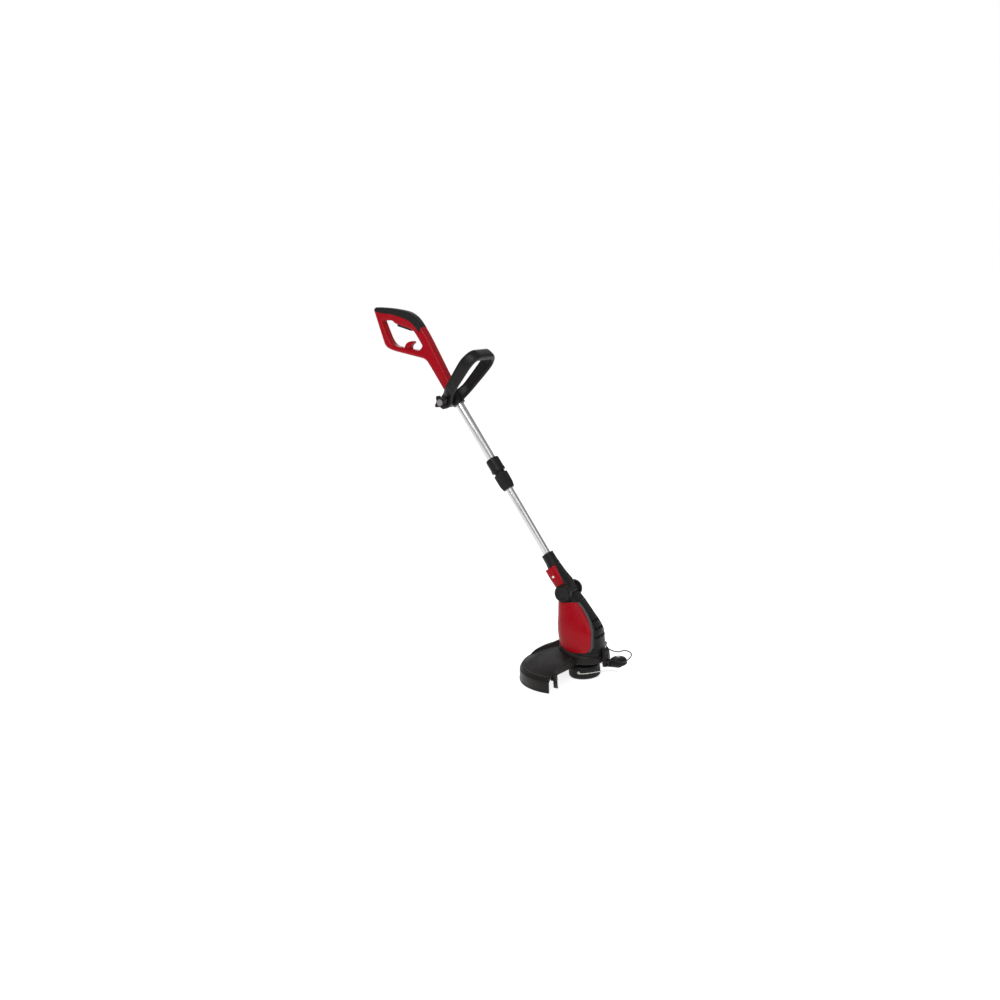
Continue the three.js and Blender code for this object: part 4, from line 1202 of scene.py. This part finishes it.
def collar():
    """The guard's collar round the motor base, with a chamfered lip."""
    rows = []
    profile = ((50, 3.2, 0), (53, 3.4, 0), (60, 3.4, 0), (None, 3.6, -9.2), (None, 6.0, -8.2))
    profile += ((None, 6.2, -7.2), (None, 4.2, -3.6), (None, 1.8, -0.3), (None, 0.9, 0))
    profile += ((None, 0.5, -0.5), (56, 0.5, 0), (50, 0.5, 0))
    for height, grow, drop in profile:
        row = []
        for angle in directions(200):
            cx, a, b = smooth(HOUSING, 70)
            x = cx + superellipse(angle, a, b, HOUSING_POWER)[0]
            z = height if height is not None else collar_top(x) + drop
            cx, a, b = smooth(HOUSING, z)
            u, v = superellipse(angle, a + grow, b + grow, HOUSING_POWER)
            row.append((cx + u, v, z))
        rows.append(row)
    return grid("collar", rows, wrap_rows=True)


def guard_plate():
    """The guard's floor under the motor base, open round the drive."""
    hole = [(30 * cos(t), 30 * sin(t)) for t in directions(160)]
    rows = [housing_ring(52, z, 1) for z in (50.1, 55.4)]
    rows += [[(u, v, z) for u, v in hole] for z in (55.4, 50.1)]
    return grid("plate", rows, wrap_rows=True)


def hood_ribs():
    """Stiffening ribs under the hood."""
    ribs = []
    for angle in [radians(a) for a in (112, 135, 158, 202, 225, 248)]:
        rows = []
        for r in spread(58, 150, 16):
            x, y, z = hood_point(r, 82.4 - max(0, r - 60) * 0.285 - max(0, r - 110) * 0.18, angle)
            side = Vector((-sin(angle), cos(angle), 0)) * 0.9
            top = Vector((x, y, z))
            low = Vector((x, y, max(z - 9, 47)))
            rows.append([low - side, top - side, top + side, low + side])
        ribs.append(grid("rib", rows))
    return ribs


def guard():
    made = hood()
    parts = [end_wall(-1), end_wall(1), collar(), guard_plate(), *hood_ribs()]
    boss = box("blade_boss", (-30, -12), (-152, -141.9), (33, 52), 1.2)
    gather(made, *parts, boss, box("blade_boss", (-24, -18), (-146, -139), (24, 34), 1))
    settle(made, "head", "body_black", "guard", crease=38, finish=GUARD_BLACK)


def guard_fixings():
    corners = ((-28, 44, 1), (-14, 44, 1), (-14.5, 14, 1), (-13.2, 8, 1), (-28.5, 8.5, 1.5))
    outline = rounded(corners, 4)
    hole = [Vector((-21 + 2.2 * cos(a), 38 + 2.2 * sin(a))) for a in spread(0, 2 * pi, 25)[:-1]]
    blade = shift(plate("line_blade", [outline, hole], 0.6, 0.15, 0, 1), y=BLADE_Y)
    for x in (-25.4, -21.2, -17):
        rib = box("blade_rib", (x - 0.7, x + 0.7), (-0.9, 0.9), (9.5, 34), 0.3)
        gather(blade, shift(rib, y=BLADE_Y))
    settle(blade, "head", "blade_steel", "cutter_blade")
    screw = cross_head("blade_screw", 4, 2, 2, 6)
    move(screw, moved(-21, -140.4, 38) @ rotated(-pi / 2, "X"))
    settle(screw, "head", "steel_parts")
    for i, y in enumerate((-40, 40)):
        made = cross_head(f"base_screw_{i + 1}", 3.2, 2.6, 2, 13)
        move(made, moved(0, y, 49.7) @ rotated(pi, "X"))
        settle(made, "head", "steel_parts", f"guard_screw_{i + 1}")


# ---- guide wheel and plant guard ----
def guide_wheel():
    corners = ((68.3, 39), (68.3, 64), (70.7, 70), (70.7, 91), (74.5, 91, 1.5))
    corners += ((78.5, 82, 4), (79.5, 66, 3), (79.5, 39))
    holder = plate("wheel_holder", [rounded(corners, 4)], 16, 0.9, 0, 3)
    for y, reach, top in ((-9, 79, 88), (9, 79, 88), (0, 80.5, 76)):
        gather(holder, box("rib", (71.2, reach), (y - 1.2, y + 1.2), (46, top), 0.6))
    end = [Vector((WHEEL_X + 9 * sin(a), -9 * cos(a))) for a in spread(0, pi, 24)]
    outline = [Vector((75, -12)), *end, Vector((75, 12))]
    arm = plate("arm", [outline], 2.5, 0.8, 0, 3)
    move(arm, moved(0, 0, 41.5) @ rotated(-pi / 2, "X"))
    gather(holder, arm)
    for y in (-9, 9):
        gather(holder, box("web", (78, 88), (y - 1, y + 1), (43, 56), 0.6))
    settle(holder, "head", "body_black", "guide_arm")

    corners = ((4.15, 46.2), (9, 46.2, 0.4), (9.5, 48, 0.6), (17, 48, 0.6), (18, 46, 0.5))
    corners += ((WHEEL_R - 4, 46, 1), (WHEEL_R, 49.5, 1.5), (WHEEL_R, 57, 2))
    corners += ((WHEEL_R - 2, 62.5, 3), (WHEEL_R - 6.5, 66, 3))
    corners += ((12, 68.2, 3), (4.15, 68.6, 0.3))
    treads = fluted(21, 1.8, 47.5, 60, 1.4, WHEEL_R - 2.6)
    wheel = lathe("edge_wheel", corners, 5, 168, treads)
    settle(shift(wheel, WHEEL_X), "guide_wheel", "head_black", "guide_wheel")

    corners = ((0, 37.5), (3, 37.5, 0.4), (4, 38.5), (4, 68.8), (6, 68.8, 0.3), (6, 70.3, 0.8))
    corners += ((2.4, 70.3, 0.3), (2, 69.6, 0.2), (0, 69.6))
    axle = lathe("wheel_pin", corners, sides=48)
    settle(shift(axle, WHEEL_X), "head", "steel_parts", "wheel_axle")


BAIL = (
    (54, 38, 92), (54, 44, 92), (54, 46.7, 90), (53.5, 46.5, 84), (56, 46.5, 77.5), (65, 46, 71.5),
    (79, 46, 67.5), (95, 45.5, 67.5), (107, 44.5, 72), (118, 43.5, 74), (128, 42, 72.5),
    (135.5, 39, 70), (141, 30, 66), (142.2, 12, 62.5),
)


def round_bar(name, path, r):
    """A round bar along points, with its ends closed."""
    rows = []
    side = Vector((1, 0, 0))
    for i, p in enumerate(path):
        ahead = direction_at(path, i)
        side = (side - ahead * side.dot(ahead)).normalized()
        other = ahead.cross(side)
        rows.append([p + side * (r * cos(a)) + other * (r * sin(a)) for a in directions(16)])
    return grid(name, rows)


def plant_guard():
    points = list(BAIL) + [(x, -y, z) for x, y, z in BAIL[::-1]]
    made = round_bar("bail_wire", through(points, 8), 1.6)
    settle(made, "plant_guard", "bail_wire", "plant_guard")


# ---- cutting head ----
def eyelet_place(angle):
    return moved(z=EYELET_Z) @ rotated(angle, "Z") @ rotated(pi / 2, "Y")


def cutting_head():
    profile = [(20.3, 2.5), (41.2, 2.5), (43.4, 3.3), (45.6, 5.6), (46.6, 8)]
    profile += [(HEAD_R, z) for z in spread(9.5, 31, 15)]
    profile += [(HEAD_R, 32.6), (46.2, 33.7), (45, 33.9), (43.6, 33.9)]
    profile += [(43.6, 9), (41, 5.5), (20.3, 5.5)]
    ribs = fluted(36, 1.1, 9, 31, 0.6, HEAD_R - 0.1)

    def keep_eyelets_plain(angle, r, z):
        near = min(abs((angle - a + pi) % (2 * pi) - pi) for a in EYELET_ANGLES)
        share = step_up((near - 0.12) / 0.06)
        return r + (ribs(angle, r, z) - r) * share

    cap = turned("line_cap", profile, 432, keep_eyelets_plain)
    for angle in EYELET_ANGLES:
        hole = pin("hole", 3.2, 40, 50, 0, 24)
        carve(cap, move(hole, eyelet_place(angle)))
    settle(cap, "cutting_head", "head_black", "spool_cap")

    for name, angle in zip(("right_eyelet", "left_eyelet"), EYELET_ANGLES):
        corners = ((1.3, 42.8), (3.1, 42.8), (3.1, 46.6), (4.3, 46.6, 0.3), (4.3, 47.8, 0.5))
        corners += ((2.2, 48.1, 0.5), (1.3, 46.8, 0.6))
        ring = lathe(name, corners, sides=48)
        move(ring, eyelet_place(angle))
        settle(ring, "cutting_head", "steel_parts")

    corners = ((4.35, 27), (12, 27), (12, 34.2), (HEAD_R, 34.2, 0.5), (HEAD_R, 38.3, 0.9))
    corners += ((44.5, 39.6, 1.5), (24, 48.9, 3), (12, 54, 1.5), (4.35, 54))
    notches = fluted(24, 0.5, 34.5, 38.2, 1.2, HEAD_R - 0.1)
    hub = lathe("hub_cone", corners, 5, 144, notches)
    settle(hub, "cutting_head", "head_black", "head_hub")

    corners = ((0, 0.6), (4, 0.6), (5, 0, 0.4), (15, 0, 0.8), (19.4, 2, 1), (19.8, 4, 0.6))
    corners += ((19.8, 6), (12, 6.5), (12, 14), (0, 14))
    bump = lathe("tap_button", corners, 4, 120, fluted(12, 1.0, -4, 6, 2, 17.5))
    settle(bump, "bump_button", "head_black", "bump_button")


# ---- stage ----
def stage():
    """A white floor, bright enough that only the contact shadow shows on it."""
    ends = [(-40, -40, 0), (40, -40, 0), (40, 40, 0), (-40, 40, 0)]
    floor = new_object("floor", ends, [(0, 1, 2, 3)])
    floor.location.z = -0.0008
    pale = Finish("pale_floor", (0.6, 0.6, 0.6), 0.8)
    pale.tint(pale.noise(3, 2), 0.995, 1.005)
    pale.set({"Specular IOR Level": 0.0, "Emission Color": (1, 1, 1, 1), "Emission Strength": 0.84})
    floor.data.materials.append(pale.material)


def area_light(name, place, target, size, power, colour=(1, 1, 1)):
    data = bpy.data.lights.new(name, "AREA")
    data.shape = "RECTANGLE"
    data.size, data.size_y = size
    data.energy = power
    data.color = colour
    light = linked(name, data)
    light.location = place
    light.rotation_euler = (Vector(target) - Vector(place)).to_track_quat("-Z", "Y").to_euler()


def studio():
    """Soft light all round, a bright one above and to the left, and a white background."""
    middle = (-0.25, 0, 0.55)
    area_light("key", (0.35, -2.8, 2.9), middle, (2.2, 1.6), 62)
    area_light("fill", (2.6, -1.4, 1.6), middle, (1.6, 2.2), 18)
    area_light("rim", (-1.8, 2.2, 2.2), middle, (2.4, 1.2), 12)
    world = bpy.data.worlds.new("studio")
    bpy.context.scene.world = world
    world.use_nodes = True
    tree = world.node_tree
    direction = add_node(tree, "TexCoord", {}, "Generated")
    height = add_node(tree, "SeparateXYZ", {"Vector": direction}, "Z")
    raised = add_node(tree, "MapRange", {"Value": height, "From Min": -1}, "Result")
    ramp = tree.nodes.new("ShaderNodeValToRGB")
    for element, place, level in zip(ramp.color_ramp.elements, (0.42, 0.75), (0.3, 1)):
        element.position = place
        element.color = (level, level, level, 1)
    wire(tree, ramp, {"Fac": raised})
    around = tree.nodes["Background"]
    wire(tree, around, {"Strength": 0.42, "Color": ramp.outputs["Color"]})
    seen = add_node(tree, "Background", {"Color": (1, 1, 1, 1), "Strength": 1.0}, "Background")
    by_eye = add_node(tree, "LightPath", {}, "Is Camera Ray")
    shares = {0: by_eye, 1: around.outputs["Background"], 2: seen}
    mix = add_node(tree, "MixShader", shares, "Shader")
    wire(tree, tree.nodes["World Output"], {"Surface": mix})
    bpy.context.scene.view_settings.view_transform = "Standard"


# ---- assembly ----
dress_cad_nodes()
rear_handle()
trigger()
handle_screws()
power_inlet()
tubes()
telescopic_lock()
loop_handle()
loop_fixings()
swivel()
tilt_yoke()
housing()
motor_base()
guard()
guard_fixings()
guide_wheel()
plant_guard()
cutting_head()
stage()
studio()
